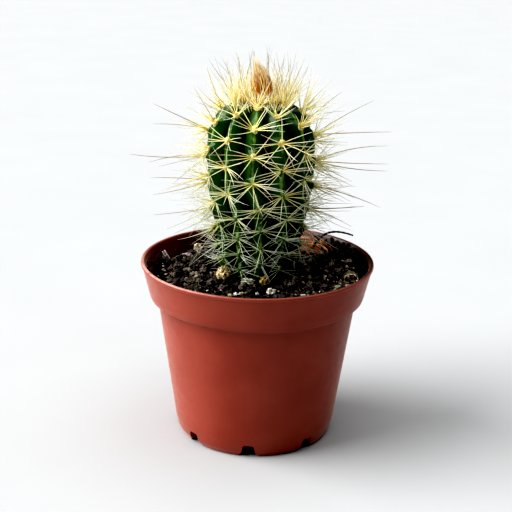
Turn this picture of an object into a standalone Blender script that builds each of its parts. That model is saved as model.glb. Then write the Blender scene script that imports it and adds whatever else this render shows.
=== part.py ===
"""Potted column cactus: a ribbed, spiny stem in peat and grit, in a round plastic nursery pot.

All sizes below are in millimetres and are turned to metres where a mesh is made. The origin is
the middle of the pot's foot, +Z is up and -Y is the front.
"""

import math
import random

import bmesh
import bpy
import numpy as np
from mathutils import Matrix, Vector, noise

MM = 0.001
GAP = 0.3

# Pot: a standard 8.5 cm nursery pot, with a collar, a bead on its lip and eight foot notches.
RIM_RADIUS = 42.5
POT_HEIGHT = 66.0
BEAD_RADIUS = 0.9
BEAD_PROUD = 0.5
WALL = 1.2
COLLAR_FOOT = 53.0
COLLAR_FOOT_RADIUS = 39.1
BODY_TOP = 50.8
BODY_TOP_RADIUS = 36.2
BODY_FOOT = 12.0
BODY_FOOT_RADIUS = 30.7
FOOT_RADIUS = 27.6
FOOT_RING_WIDTH = 1.2
UNDERSIDE = 3.0
FLOOR = 4.2
POT_SEGMENTS = 56
NOTCHES = 8
NOTCH_AZIMUTH = -4.0
NOTCH_HEIGHT = 4.9
NOTCH_TOP_HALF = 1.9
NOTCH_FOOT_HALF = 4.0

# Soil: a plug with a plain blind hole for the stem and a lumpy top that rises to the stem.
SOIL_EDGE_LEVEL = 58.6
SOIL_STEM_LEVEL = 62.8
MOUND_POWER = 1.3
SOIL_LUMP = 1.3
SOIL_LUMP_SIZE = 4.6
SOIL_COLUMNS = 54
SOIL_RINGS = 11
HOLE_RADIUS = 14.3
HOLE_FLOOR = 50.0

# Stem: (radius over the rib crests, height), from the rim of the dimple in its top downwards.
STEM_AXIS_X = 0.5
RIBS = 12
RIB_DEPTH = 3.7
RIB_SHARPNESS = 0.8
RIB_AZIMUTH = -7.6
TWIST_DEGREES = 10.0
TWIST_TOP = 98.0
TWIST_FOOT = 86.0
STEM_OUTLINE = [
    (1.6, 124.3), (5.2, 124.8), (9.6, 123.8), (13.7, 121.6), (16.9, 118.0), (18.7, 113.0),
    (19.4, 106.5), (19.2, 99.0), (18.2, 90.0), (16.4, 80.0), (15.0, 72.0), (13.8, 64.5),
    (13.4, 60.0),
]
STEM_ROOT = [(11.8, 57.0), (11.2, 54.0), (9.6, HOLE_FLOOR + GAP)]
COLUMNS_PER_RIB = 4
AREOLE_BUMP = 0.45

# Areoles sit on the rib crests, on every second half step, those of neighbouring ribs between.
FIRST_AREOLE_ARC = 8.6
HALF_STEP_TOP = 4.5
HALF_STEP_FOOT = 3.1
AREOLE_ROWS = 17
LOWEST_AREOLE = 64.5

# Spines: three-sided needles with their roots sunk in the flesh.
NEEDLE_RADIUS = 0.31
NEEDLE_SINK = 0.9
RADIALS = 6
ROOT_RING = 0.95
RADIAL_LENGTH = (8.0, 12.5)
CENTRAL_LENGTH = (17.0, 27.0)
UPRIGHT_ABOVE = 113.0
UPRIGHT_PULL = 1.1
SHORTEST_NEEDLE = 4.0
SPINE_REACH = 46.5
REACH_MARGIN = 1.3
SPINE_TOP = 139.5
SOIL_CLEARANCE = 2.2
NEIGHBOUR_CLEARANCE = 0.9

# Crown: a thin woolly cap with golden spines, and the rust-red tuft of the youngest ones on it.
CAP_RADIUS = 7.2
CAP_THICKNESS = 1.5
CAP_NEEDLES = 78
CAP_NEEDLE_INNER = 4.5
CAP_NEEDLE_LENGTH = (12.0, 16.5)
CROWN_TOP = 141.6
TUFT_FOOT = (1.7, 0.0)
TUFT_TIP = (-1.3, 0.0, 140.2)
TUFT_WIDEST = 3.4
TUFT_NEEDLES = 34
TUFT_REACH = 4.0

# Pieces that lie on the soil: place, half sizes, turn in degrees, colour.
LOOSE_PIECES = {
    "dry_husk": ((-12.0, -13.0), (2.1, 1.8, 3.1), 20.0, "B58A3C"),
    "pale_flake": ((-3.0, -17.3), (2.9, 1.2, 0.9), -8.0, "A9A690"),
    "yellow_bract": ((2.6, -17.6), (1.7, 1.2, 1.3), 30.0, "8C7A2A"),
    "white_grain_1": ((5.0, -23.6), (1.5, 1.2, 1.0), 10.0, "D8D2C4"),
    "white_grain_2": ((-34.2, 17.0), (1.9, 0.8, 2.2), 63.0, "D9D3C8"),
    "tan_pebble": ((-22.9, 22.8), (2.0, 1.9, 2.3), 0.0, "A39A7C"),
    "pink_pebble": ((-27.0, 18.2), (1.7, 1.3, 1.2), 15.0, "B9A6A8"),
    "grey_pebble": ((-21.5, -12.0), (1.9, 1.6, 1.2), 35.0, "77726A"),
    "green_grain": ((28.9, -15.0), (1.4, 1.1, 1.0), 0.0, "9DA78C"),
    "bark_chip": ((14.4, 27.4), (4.4, 2.8, 2.2), 25.0, "6B3A22"),
}
PIECE_LUMP = 0.12
PIECE_UNDERSIDE = 0.6
SEAT_MARGIN = 2.6
SEAT_BLEND = 2.0

# Curled dry leaf: a rolled strip that lies on the soil by the right wall.
CURL_PLACE = (33.8, -4.4)
CURL_RADIUS = 2.5
CURL_THICKNESS = 0.8
CURL_WIDTH = 4.2
CURL_SWEEP = 250.0
CURL_STEPS = 12

# Bare root: rises from the soil behind the stem and arches to the right, past the rim.
ROOT_ROUTE = [
    (20.6, 24.6, 60.6), (21.6, 24.4, 63.6), (23.4, 24.2, 66.6), (26.2, 24.0, 68.8),
    (29.4, 23.4, 69.8), (33.0, 22.4, 69.8), (36.4, 21.4, 69.1),
]
ROOT_RADIUS = 0.36
ROOT_SIDES = 6
ROOT_SEAT = 1.9


def material(name, hex_colour, roughness):
    """Return a Principled material of one colour, given as sRGB hex."""
    made = bpy.data.materials.new(name)
    made.use_nodes = True
    shader = made.node_tree.nodes["Principled BSDF"]
    channels = [int(hex_colour[i:i + 2], 16) / 255 for i in (0, 2, 4)]
    linear = [((c + 0.055) / 1.055) ** 2.4 if c > 0.04045 else c / 12.92 for c in channels]
    shader.inputs["Base Color"].default_value = (*linear, 1.0)
    shader.inputs["Roughness"].default_value = roughness
    shader.inputs["Metallic"].default_value = 0.0
    return made


def add_object(name, points, faces, surface=None, smooth_degrees=None, collection=None):
    """Add a mesh object from points in millimetres; smooth it below the given edge angle."""
    mesh = bpy.data.meshes.new(name)
    mesh.from_pydata([Vector(point) * MM for point in points], [], faces)
    shell = bmesh.new()
    shell.from_mesh(mesh)
    bmesh.ops.recalc_face_normals(shell, faces=shell.faces)
    shell.to_mesh(mesh)
    shell.free()
    if surface:
        mesh.materials.append(surface)
    if smooth_degrees:
        mesh.shade_smooth()
        mesh.set_sharp_from_angle(angle=math.radians(smooth_degrees))
    thing = bpy.data.objects.new(name, mesh)
    (collection or bpy.context.scene.collection).objects.link(thing)
    return thing


def ring_faces(rows, columns):
    """Faces of rows of points round an axis; the first and the last row are single points."""
    faces = []
    first = 1
    for column in range(columns):
        faces.append((0, first + column, first + (column + 1) % columns))
    for row in range(rows - 1):
        above = first + row * columns
        below = above + columns
        for column in range(columns):
            after = (column + 1) % columns
            faces.append((above + column, below + column, below + after, above + after))
    last = first + (rows - 1) * columns
    foot = first + rows * columns
    for column in range(columns):
        faces.append((last + column, foot, last + (column + 1) % columns))
    return faces


def turned(profile, columns, centre=(0.0, 0.0)):
    """Points and faces of a solid turned from (radius, height) points, axis to axis."""
    top = profile[0]
    foot = profile[-1]
    points = [(centre[0], centre[1], top[1])]
    for radius, height in profile[1:-1]:
        for column in range(columns):
            angle = 2 * math.pi * column / columns
            points.append((centre[0] + radius * math.cos(angle),
                           centre[1] + radius * math.sin(angle), height))
    points.append((centre[0], centre[1], foot[1]))
    return points, ring_faces(len(profile) - 2, columns)


def smooth_curve(points, steps):
    """Points on a Catmull-Rom curve through the given ones, with the steps between each two."""
    spots = [np.array(point, float) for point in points]
    ends = [2 * spots[0] - spots[1], *spots, 2 * spots[-1] - spots[-2]]
    curve = []
    for before, start, end, after in zip(ends, ends[1:], ends[2:], ends[3:]):
        for step in range(steps):
            t = step / steps
            curve.append(0.5 * (2 * start + (end - before) * t
                                + (2 * before - 5 * start + 4 * end - after) * t ** 2
                                + (3 * start - before - 3 * end + after) * t ** 3))
    curve.append(spots[-1])
    return curve


def arc_points(centre, radius, start, end, steps):
    """(radius, height) points on an arc, from the start to the end angle in degrees."""
    angles = [math.radians(start + (end - start) * step / steps) for step in range(steps + 1)]
    return [(centre[0] + radius * math.cos(angle), centre[1] + radius * math.sin(angle))
            for angle in angles]


def wall_radius(height, table):
    """Radius at a height, read between the (radius, height) points of a rising table."""
    heights = [point[1] for point in table]
    radii = [point[0] for point in table]
    return float(np.interp(height, heights, radii))


INNER_WALL = [
    (FOOT_RADIUS - FOOT_RING_WIDTH, FLOOR), (BODY_FOOT_RADIUS - WALL, BODY_FOOT),
    (BODY_TOP_RADIUS - WALL, BODY_TOP), (COLLAR_FOOT_RADIUS - WALL, COLLAR_FOOT + 0.8),
    (RIM_RADIUS - BEAD_PROUD - WALL, POT_HEIGHT - BEAD_RADIUS),
]


def make_pot():
    """The thin-walled pot, turned in one piece, with the notches cut through its foot."""
    bead = (RIM_RADIUS - BEAD_RADIUS, POT_HEIGHT - BEAD_RADIUS)
    collar_top = (RIM_RADIUS - BEAD_PROUD, POT_HEIGHT - 2 * BEAD_RADIUS)
    profile = [(0.0, FLOOR), *INNER_WALL]
    profile += arc_points(bead, BEAD_RADIUS, 150, -50, 4)
    profile += [collar_top, (COLLAR_FOOT_RADIUS, COLLAR_FOOT)]
    profile += [(COLLAR_FOOT_RADIUS - 0.6, COLLAR_FOOT - 0.9),
                (BODY_TOP_RADIUS + 0.8, BODY_TOP + 0.7), (BODY_TOP_RADIUS, BODY_TOP)]
    profile += [(BODY_FOOT_RADIUS, BODY_FOOT), (BODY_FOOT_RADIUS - 0.7, 6.5),
                (FOOT_RADIUS + 1.5, 2.4), (FOOT_RADIUS + 0.8, 0.8), (FOOT_RADIUS, 0.0)]
    profile += [(FOOT_RADIUS - FOOT_RING_WIDTH, 0.0), (FOOT_RADIUS - FOOT_RING_WIDTH, UNDERSIDE)]
    profile += [(0.0, UNDERSIDE)]
    points, faces = turned(profile, POT_SEGMENTS)
    pot = add_object("pot", points, faces, material("terracotta_plastic", "B4553F", 0.42), 35)

    cutter = notch_cutter()
    cut = pot.modifiers.new("foot notches", "BOOLEAN")
    cut.operation = "DIFFERENCE"
    cut.object = cutter
    return pot


def notch_cutter():
    """Eight prisms, each a notch wide at the floor with a rounded top, set round the foot."""
    half_outline = [
        (NOTCH_FOOT_HALF, -1.0), (NOTCH_FOOT_HALF - 0.4, 0.3), (NOTCH_TOP_HALF + 0.6, 1.5),
        (NOTCH_TOP_HALF, NOTCH_HEIGHT - 0.8), (NOTCH_TOP_HALF - 0.8, NOTCH_HEIGHT),
    ]
    outline = half_outline + [(-x, z) for x, z in reversed(half_outline)]
    near = FOOT_RADIUS - FOOT_RING_WIDTH - 3.0
    far = BODY_FOOT_RADIUS + 2.0
    points = []
    faces = []
    for index in range(NOTCHES):
        turn = Matrix.Rotation(math.radians(NOTCH_AZIMUTH + 360 / NOTCHES * index), 4, "Z")
        base = len(points)
        for depth in (near, far):
            points += [turn @ Vector((x, -depth, z)) for x, z in outline]
        count = len(outline)
        inner = list(range(base, base + count))
        outer = list(range(base + count, base + 2 * count))
        faces.append(inner[::-1])
        faces.append(outer)
        for i in range(count):
            j = (i + 1) % count
            faces.append((inner[i], inner[j], outer[j], outer[i]))
    cutter = add_object("notch_cutter", points, faces)
    cutter.hide_render = True
    cutter.display_type = "WIRE"
    return cutter


def soil_height(x, y):
    """Height of the soil's top: a low mound with lumps, flat where a piece lies on it."""
    spot = Vector((x, y, 0.0)) / SOIL_LUMP_SIZE
    lump = noise.noise(spot) + 0.5 * noise.noise(spot * 2.3)
    height = mound_level(x, y) + SOIL_LUMP * lump
    for seat_x, seat_y, reach in soil_seats():
        away = math.hypot(x - seat_x, y - seat_y)
        if away < reach + SEAT_BLEND:
            seat = mound_level(seat_x, seat_y)
            blend = min(max((away - reach) / SEAT_BLEND, 0.0), 1.0)
            height = seat + (min(height, seat) - seat) * blend
    return height


def mound_level(x, y):
    """Height of the mound without its lumps, and of the flat spot under a piece there."""
    span = RIM_RADIUS - HOLE_RADIUS
    rise = 1 - min(max((math.hypot(x, y) - HOLE_RADIUS) / span, 0.0), 1.0)
    return SOIL_EDGE_LEVEL + (SOIL_STEM_LEVEL - SOIL_EDGE_LEVEL) * rise ** MOUND_POWER


def soil_seats():
    """Places and radii of the flat spots: under each loose piece, the curl and the root."""
    seats = [(place[0], place[1], max(half[:2]) + SEAT_MARGIN)
             for place, half, _turn, _colour in LOOSE_PIECES.values()]
    seats.append((*CURL_PLACE, CURL_WIDTH / 2 + SEAT_MARGIN))
    seats.append((*ROOT_ROUTE[0][:2], ROOT_SEAT))
    return seats


def make_soil():
    """The soil plug: fills the pot to its level and leaves a plain hole for the stem."""
    edge = wall_radius(SOIL_EDGE_LEVEL, INNER_WALL) - GAP
    sides = [(wall_radius(height, INNER_WALL) - GAP, height)
             for height in (COLLAR_FOOT + 0.8, BODY_TOP, BODY_FOOT)]
    foot = (FOOT_RADIUS - FOOT_RING_WIDTH - GAP, FLOOR + GAP)
    points = [(0.0, 0.0, HOLE_FLOOR)]
    rows = [(HOLE_RADIUS, HOLE_FLOOR)]
    for ring in range(SOIL_RINGS + 1):
        rows.append((HOLE_RADIUS + (edge - HOLE_RADIUS) * ring / SOIL_RINGS, None))
    rows += [*sides, foot]
    for radius, height in rows:
        for column in range(SOIL_COLUMNS):
            angle = 2 * math.pi * column / SOIL_COLUMNS
            x = radius * math.cos(angle)
            y = radius * math.sin(angle)
            level = soil_height(x, y) if height is None else height
            points.append((x, y, level))
    points.append((0.0, 0.0, FLOOR + GAP))
    faces = ring_faces(len(rows), SOIL_COLUMNS)
    return add_object("soil", points, faces, material("peat_and_grit", "2B211B", 0.95), 40)


class StemOutline:
    """The stem's side outline, read by the length of arc from the dimple's rim downwards."""

    def __init__(self):
        curve = np.array(smooth_curve(STEM_OUTLINE, 8))
        steps = np.linalg.norm(np.diff(curve, axis=0), axis=1)
        self.arcs = np.concatenate([[0.0], np.cumsum(steps)])
        self.radii = curve[:, 0]
        self.heights = curve[:, 1]
        self.length = float(self.arcs[-1])

    def crest(self, arc):
        """(radius, height) of the rib crests at this arc."""
        return (float(np.interp(arc, self.arcs, self.radii)),
                float(np.interp(arc, self.arcs, self.heights)))

    def slope(self, arc):
        """Outward normal (radial, upward) of the crest line at this arc."""
        ahead = self.crest(min(arc + 0.5, self.length))
        behind = self.crest(max(arc - 0.5, 0.0))
        along = Vector((ahead[0] - behind[0], ahead[1] - behind[1])).normalized()
        return Vector((-along.y, along.x))


def half_steps(outline):
    """Arcs of the areole rows, closer together towards the soil."""
    arcs = []
    arc = FIRST_AREOLE_ARC
    for row in range(AREOLE_ROWS):
        if outline.crest(arc)[1] < LOWEST_AREOLE:
            break
        arcs.append(arc)
        share = row / (AREOLE_ROWS - 1)
        arc += HALF_STEP_TOP + (HALF_STEP_FOOT - HALF_STEP_TOP) * share
    return arcs


def twist(height):
    """Turn of the ribs about the stem's axis at a height, in degrees."""
    share = min(max((TWIST_TOP - height) / (TWIST_TOP - TWIST_FOOT), 0.0), 1.0)
    return TWIST_DEGREES * share * share * (3 - 2 * share)


def rib_radius(crest_radius, offset_degrees, bump):
    """Radius of the stem at an angle from a rib's crest; the bump lifts an areole's seat."""
    wave = abs(math.cos(math.radians(offset_degrees) * RIBS / 2)) ** RIB_SHARPNESS
    depth = RIB_DEPTH * min(crest_radius / 14.0, 1.0)
    return crest_radius - depth * (1 - wave) + AREOLE_BUMP * bump * wave ** 4


def stem_spot(azimuth_degrees, radius, height):
    """A point at an azimuth from the front, round the stem's axis."""
    angle = math.radians(azimuth_degrees)
    return Vector((STEM_AXIS_X + radius * math.sin(angle), -radius * math.cos(angle), height))


def make_stem_body(outline, arcs, collection):
    """The ribbed green body, closed at the dimple and at the root in the soil's hole."""
    lead = [FIRST_AREOLE_ARC * share for share in (0.0, 0.35, 0.7)]
    rows = lead + arcs + [arcs[-1] + HALF_STEP_FOOT, outline.length]
    columns = RIBS * COLUMNS_PER_RIB
    points = [stem_spot(0.0, 0.0, STEM_OUTLINE[0][1] - 0.4)]
    for arc in rows:
        radius, height = outline.crest(arc)
        step = arcs.index(arc) if arc in arcs else None
        for column in range(columns):
            rib, part = divmod(column, COLUMNS_PER_RIB)
            offset = part * 360 / columns
            bump = 1.0 if step is not None and part == 0 and (step + rib) % 2 == 0 else 0.0
            azimuth = RIB_AZIMUTH + rib * 360 / RIBS + offset + twist(height)
            points.append(stem_spot(azimuth, rib_radius(radius, offset, bump), height))
    for radius, height in STEM_ROOT:
        for column in range(columns):
            azimuth = RIB_AZIMUTH + column * 360 / columns + twist(height)
            points.append(stem_spot(azimuth, radius, height))
    points.append(stem_spot(0.0, 0.0, HOLE_FLOOR + GAP))
    faces = ring_faces(len(rows) + len(STEM_ROOT), columns)
    green = material("cactus_skin", "2F5A2A", 0.45)
    return add_object("cactus_stem", points, faces, green, 50, collection)


def needle(name, root, tip, radius, surface, collection):
    """A three-sided needle with its root in the flesh and its point at the tip."""
    along = (tip - root).normalized()
    side = along.orthogonal().normalized()
    points = []
    for corner in range(3):
        turn = Matrix.Rotation(2 * math.pi * corner / 3, 3, along)
        points.append(root + turn @ side * radius)
    points.append(tip)
    faces = [(2, 1, 0), (0, 1, 3), (1, 2, 3), (2, 0, 3)]
    return add_object(name, points, faces, surface, None, collection)


def closest(line, lines):
    """Least distance between one needle and a list of others, by points along them."""
    if not lines:
        return math.inf
    shares = np.linspace(0.0, 1.0, 15)[:, None]
    own = np.array(line[0]) + (np.array(line[1]) - np.array(line[0])) * shares
    starts = np.array([other[0] for other in lines])
    ends = np.array([other[1] for other in lines])
    along = ends - starts
    offset = own[:, None, :] - starts[None, :, :]
    lengths = (along ** 2).sum(axis=1)
    reach = np.clip((offset * along).sum(axis=2) / lengths, 0.0, 1.0)
    gaps = offset - reach[:, :, None] * along
    return float(np.sqrt((gaps ** 2).sum(axis=2)).min())


def inside_limits(tip):
    """Whether a tip stays in the spines' reach and clear of the soil and the rim."""
    if max(abs(tip.x), abs(tip.y)) > SPINE_REACH - REACH_MARGIN or tip.z > SPINE_TOP:
        return False
    if math.hypot(tip.x, tip.y) > RIM_RADIUS - 6 and tip.z < POT_HEIGHT + 2.0:
        return False
    return tip.z > soil_height(tip.x, tip.y) + SOIL_CLEARANCE


def trimmed(root, along, length, keep_clear):
    """The needle's tip, drawn back until it is inside the limits and clear of the pieces."""
    while length >= SHORTEST_NEEDLE:
        tip = root + along * length
        free = True
        for centre, reach in keep_clear:
            nearest = root + along * min(max((centre - root).dot(along), 0.0), length)
            free = free and (nearest - centre).length > reach
        if free and inside_limits(tip):
            return tip
        length -= 1.0
    return None


def loose_zones():
    """Spheres round the loose pieces and along the bare root, which spines stay out of."""
    zones = []
    for place, half, _turn, _colour in LOOSE_PIECES.values():
        centre = Vector((*place, mound_level(*place) + half[2]))
        zones.append((centre, max(half) + 1.8))
    zones.append((Vector((*CURL_PLACE, mound_level(*CURL_PLACE) + CURL_RADIUS)), CURL_RADIUS + 2.0))
    zones += [(Vector(spot), 2.6) for spot in ROOT_ROUTE]
    return zones


def areole_spines(outline, arc, azimuth, chance):
    """(root centre, direction, length) of one areole's spines: a star and one long centre."""
    radius, height = outline.crest(arc)
    radial, upward = outline.slope(arc)
    angle = math.radians(azimuth + twist(height))
    outward = Vector((math.sin(angle) * radial, -math.cos(angle) * radial, upward))
    across = Vector((math.cos(angle), math.sin(angle), 0.0))
    up = outward.cross(across) * -1
    seat = stem_spot(azimuth + twist(height), radius, height)
    pull = UPRIGHT_PULL * min(max((height - UPRIGHT_ABOVE) / 10.0, 0.0), 1.0)
    upright = Vector((0.0, 0.0, pull))
    spines = []
    start = chance.uniform(0.0, 360.0 / RADIALS)
    for index in range(RADIALS):
        turn = math.radians(start + 360.0 / RADIALS * index + chance.uniform(-9, 9))
        spread = across * math.cos(turn) + up * math.sin(turn)
        lift = math.radians(chance.uniform(16, 40))
        along = spread * math.cos(lift) + outward * math.sin(lift)
        root = seat + spread * ROOT_RING
        length = chance.uniform(*RADIAL_LENGTH) * (1.2 if height > 112 else 1.0)
        spines.append((root, (along + upright).normalized(), length))
    lean = Vector((0.0, 0.0, chance.uniform(-0.35, 0.35)))
    along = (outward + across * chance.uniform(-0.25, 0.25) + lean + upright).normalized()
    spines.append((seat, along, chance.uniform(*CENTRAL_LENGTH)))
    return spines


def reach_spines(outline):
    """Four long spines whose tips are the furthest points to each side of the plant."""
    tips = [Vector((-SPINE_REACH, -4.0, 105.5)), Vector((SPINE_REACH, 3.0, 108.5)),
            Vector((5.0, -SPINE_REACH, 101.0)), Vector((-4.0, SPINE_REACH, 106.0))]
    spines = []
    for tip in tips:
        centre = Vector((STEM_AXIS_X, 0.0, tip.z - 4.0))
        flat = Vector((tip.x - centre.x, tip.y, 0.0)).normalized()
        seat = centre + flat * 15.0
        spines.append((seat, tip))
    return spines


def union(body, collection, name):
    """Fuse a collection's objects into the body, then remove them."""
    bpy.context.view_layer.update()
    fuse = body.modifiers.new(name, "BOOLEAN")
    fuse.operation = "UNION"
    fuse.solver = "MANIFOLD"
    fuse.operand_type = "COLLECTION"
    fuse.collection = collection
    bpy.context.view_layer.update()
    evaluated = body.evaluated_get(bpy.context.evaluated_depsgraph_get())
    fused = bpy.data.meshes.new_from_object(evaluated)
    body.modifiers.remove(fuse)
    body.data = fused
    for thing in list(collection.objects):
        bpy.data.objects.remove(thing)
    bpy.data.collections.remove(collection)


def spray_collection(name):
    """A new collection in the scene for the needles of one spray."""
    collection = bpy.data.collections.new(name)
    bpy.context.scene.collection.children.link(collection)
    return collection


def make_cactus(outline, crown_lines):
    """The stem with the spines of all its areoles, kept clear of the crown and the soil."""
    chance = random.Random(12)
    arcs = half_steps(outline)
    body = make_stem_body(outline, arcs, None)
    spray = spray_collection("stem spines")
    surface = body.data.materials[0]
    zones = loose_zones()
    count = 0
    for seat, tip in reach_spines(outline):
        needle(f"reach_{count}", seat, tip, NEEDLE_RADIUS, surface, spray)
        count += 1
    for step, arc in enumerate(arcs):
        for rib in range(step % 2, RIBS, 2):
            azimuth = RIB_AZIMUTH + rib * 360 / RIBS
            for root, along, length in areole_spines(outline, arc, azimuth, chance):
                tip = trimmed(root, along, length, zones)
                if tip is None:
                    continue
                if closest((root, tip), crown_lines) < NEIGHBOUR_CLEARANCE:
                    continue
                needle(f"spine_{count}", root - along * NEEDLE_SINK, tip, NEEDLE_RADIUS,
                       surface, spray)
                count += 1
    union(body, spray, "spines")
    return body


def cap_height(outline, radius):
    """Height of the stem's crest line under the cap, at a radius from the stem's axis."""
    inner = outline.radii[:40]
    heights = outline.heights[:40]
    return float(np.interp(radius, inner, heights))


def crown_needles(outline):
    """(root, tip) of the golden spines on the cap, clear of the tuft in its middle."""
    chance = random.Random(5)
    tuft_axis = (Vector((*TUFT_FOOT, cap_height(outline, 0.0) + CAP_THICKNESS)), Vector(TUFT_TIP))
    lines = []
    golden = math.pi * (3 - math.sqrt(5))
    for index in range(CAP_NEEDLES):
        share = (index + 0.5) / CAP_NEEDLES
        radius = CAP_NEEDLE_INNER + (CAP_RADIUS - 0.7 - CAP_NEEDLE_INNER) * share
        angle = index * golden
        lean = math.radians(4 + 24 * share + chance.uniform(-3, 3))
        flat = Vector((math.cos(angle), math.sin(angle), 0.0))
        root = Vector((STEM_AXIS_X, 0.0, cap_height(outline, radius) + GAP + CAP_THICKNESS / 2))
        root += flat * radius
        along = flat * math.sin(lean) + Vector((0.0, 0.0, math.cos(lean)))
        length = chance.uniform(*CAP_NEEDLE_LENGTH)
        length = min(length, (CROWN_TOP - root.z) / along.z)
        if closest((root, root + along * length), [tuft_axis]) < TUFT_REACH + 0.5:
            continue
        lines.append((root, root + along * length))
    return lines


def make_crown(outline, lines):
    """The woolly cap that follows the stem's top, with the golden spines fused to it."""
    rows = [CAP_RADIUS * share for share in (0.35, 0.7, 1.0)]
    flat_top = cap_height(outline, 5.2) + GAP
    profile = [(0.0, flat_top + CAP_THICKNESS)]
    profile += [(r, flat_top + CAP_THICKNESS * (1 - 0.75 * (r / CAP_RADIUS) ** 2)) for r in rows]
    profile += [(CAP_RADIUS - 0.2, flat_top - 0.2), (rows[1], flat_top), (0.0, flat_top)]
    points, faces = turned(profile, 24, (STEM_AXIS_X, 0.0))
    gold = material("golden_spines", "E3C766", 0.6)
    cap = add_object("crown_spines", points, faces, gold)
    spray = spray_collection("crown needles")
    for index, (root, tip) in enumerate(lines):
        needle(f"crown_{index}", root, tip, NEEDLE_RADIUS, gold, spray)
    union(cap, spray, "needles")
    return cap


def make_tuft(outline):
    """The flame-shaped tuft of young spines: a slim spindle with needles close about it."""
    chance = random.Random(3)
    foot = Vector((*TUFT_FOOT, cap_height(outline, 5.2) + CAP_THICKNESS + 2 * GAP))
    tip = Vector(TUFT_TIP)
    axis = tip - foot
    columns = 8
    shares = [(0.0, 0.8), (0.12, 0.9), (0.32, 1.0), (0.6, 0.62), (0.85, 0.25)]
    points = [foot]
    for share, width in shares:
        for column in range(columns):
            angle = 2 * math.pi * column / columns
            spread = Vector((math.cos(angle), math.sin(angle), 0.0)) * TUFT_WIDEST * 0.7 * width
            points.append(foot + axis * share + spread)
    points.append(foot + axis * 0.97)
    faces = ring_faces(len(shares), columns)
    rust = material("young_spines", "C27A33", 0.6)
    tuft = add_object("crown_tuft", points, faces, rust)
    spray = spray_collection("tuft needles")
    golden = math.pi * (3 - math.sqrt(5))
    for index in range(TUFT_NEEDLES):
        share = (index + 0.5) / TUFT_NEEDLES
        angle = index * golden
        flat = Vector((math.cos(angle), math.sin(angle), 0.0))
        root = foot + axis * (0.08 + 0.5 * share) + flat * TUFT_WIDEST * (0.6 - 0.35 * share)
        aim = tip + flat * chance.uniform(0.6, 2.2) * (1.2 - share)
        along = (aim - root).normalized()
        length = min(chance.uniform(6.0, 11.0), (tip.z + 0.5 - root.z) / along.z)
        needle(f"tuft_{index}", root, root + along * length, NEEDLE_RADIUS, rust, spray)
    union(tuft, spray, "needles")
    return tuft


def make_loose_piece(name, place, half, turn, hex_colour):
    """A lumpy grain or husk with a flat underside, lying on its spot of the soil."""
    mesh = bmesh.new()
    bmesh.ops.create_icosphere(mesh, subdivisions=2, radius=1.0)
    shape = Matrix.Rotation(math.radians(turn), 4, "Z")
    seed = Vector((len(name), *place))
    rest = mound_level(*place) + GAP
    points = []
    for vertex in mesh.verts:
        lump = 1 + PIECE_LUMP * noise.noise(vertex.co * 1.7 + seed)
        local = Vector((vertex.co.x * half[0], vertex.co.y * half[1], vertex.co.z * half[2])) * lump
        local.z = max(local.z, -PIECE_UNDERSIDE * half[2])
        spot = shape @ local
        level = rest + PIECE_UNDERSIDE * half[2] + spot.z
        points.append((place[0] + spot.x, place[1] + spot.y, level))
    faces = [[vertex.index for vertex in face.verts] for face in mesh.faces]
    mesh.free()
    return add_object(name, points, faces, material(f"{name}_surface", hex_colour, 0.8), 60)


def make_curl():
    """The curled dry leaf: a strip rolled most of the way round, lying on its back."""
    rest = mound_level(*CURL_PLACE) + GAP + CURL_RADIUS
    points = []
    for step in range(CURL_STEPS + 1):
        angle = math.radians(-90 - CURL_SWEEP / 2 + CURL_SWEEP * step / CURL_STEPS)
        for radius in (CURL_RADIUS, CURL_RADIUS - CURL_THICKNESS):
            for side in (-1, 1):
                points.append((CURL_PLACE[0] + radius * math.cos(angle),
                               CURL_PLACE[1] + side * CURL_WIDTH / 2,
                               rest + radius * math.sin(angle)))
    faces = [(0, 1, 3, 2)]
    for step in range(CURL_STEPS):
        near = 4 * step
        far = near + 4
        faces += [(near, far, far + 1, near + 1), (near + 2, near + 3, far + 3, far + 2),
                  (near, near + 2, far + 2, far), (near + 1, far + 1, far + 3, near + 3)]
    end = 4 * CURL_STEPS
    faces.append((end, end + 2, end + 3, end + 1))
    return add_object("curled_leaf", points, faces, material("dry_leaf", "8F8463", 0.8), 40)


def make_bare_root():
    """The thin dark root, a tapering tube along its route."""
    route = smooth_curve(ROOT_ROUTE, 3)
    points = [Vector(route[0])]
    for index, spot in enumerate(route):
        ahead = Vector(route[min(index + 1, len(route) - 1)])
        behind = Vector(route[max(index - 1, 0)])
        along = (ahead - behind).normalized()
        side = along.cross(Vector((0.0, 1.0, 0.0))).normalized()
        other = along.cross(side)
        radius = ROOT_RADIUS * (1.0 if index < len(route) - 3 else 0.85)
        for corner in range(ROOT_SIDES):
            angle = 2 * math.pi * corner / ROOT_SIDES
            spread = side * math.cos(angle) + other * math.sin(angle)
            points.append(Vector(spot) + spread * radius)
    points.append(Vector(route[-1]))
    faces = ring_faces(len(route), ROOT_SIDES)
    return add_object("bare_root", points, faces, material("dark_root", "1F1712", 0.6), 60)


def main():
    """Build the pot, what fills it and the plant."""
    for thing in list(bpy.data.objects):
        bpy.data.objects.remove(thing)
    outline = StemOutline()
    make_pot()
    make_soil()
    crown_lines = crown_needles(outline)
    make_cactus(outline, crown_lines)
    make_crown(outline, crown_lines)
    make_tuft(outline)
    for name, (place, half, turn, colour) in LOOSE_PIECES.items():
        make_loose_piece(name, place, half, turn, colour)
    make_curl()
    make_bare_root()


main()
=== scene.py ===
"""Potted column cactus: the finished look of the part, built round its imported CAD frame.

Sizes held here are millimetres and become metres where a mesh is made. The origin is the middle
of the pot's foot, +Z is up and -Y is the front. Azimuths are degrees from the front, growing to
the right.
"""

import logging
import math
import random
from dataclasses import dataclass, field
from enum import Enum

import bmesh
import bpy
import numpy as np
from mathutils import Matrix, Vector, noise


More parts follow.
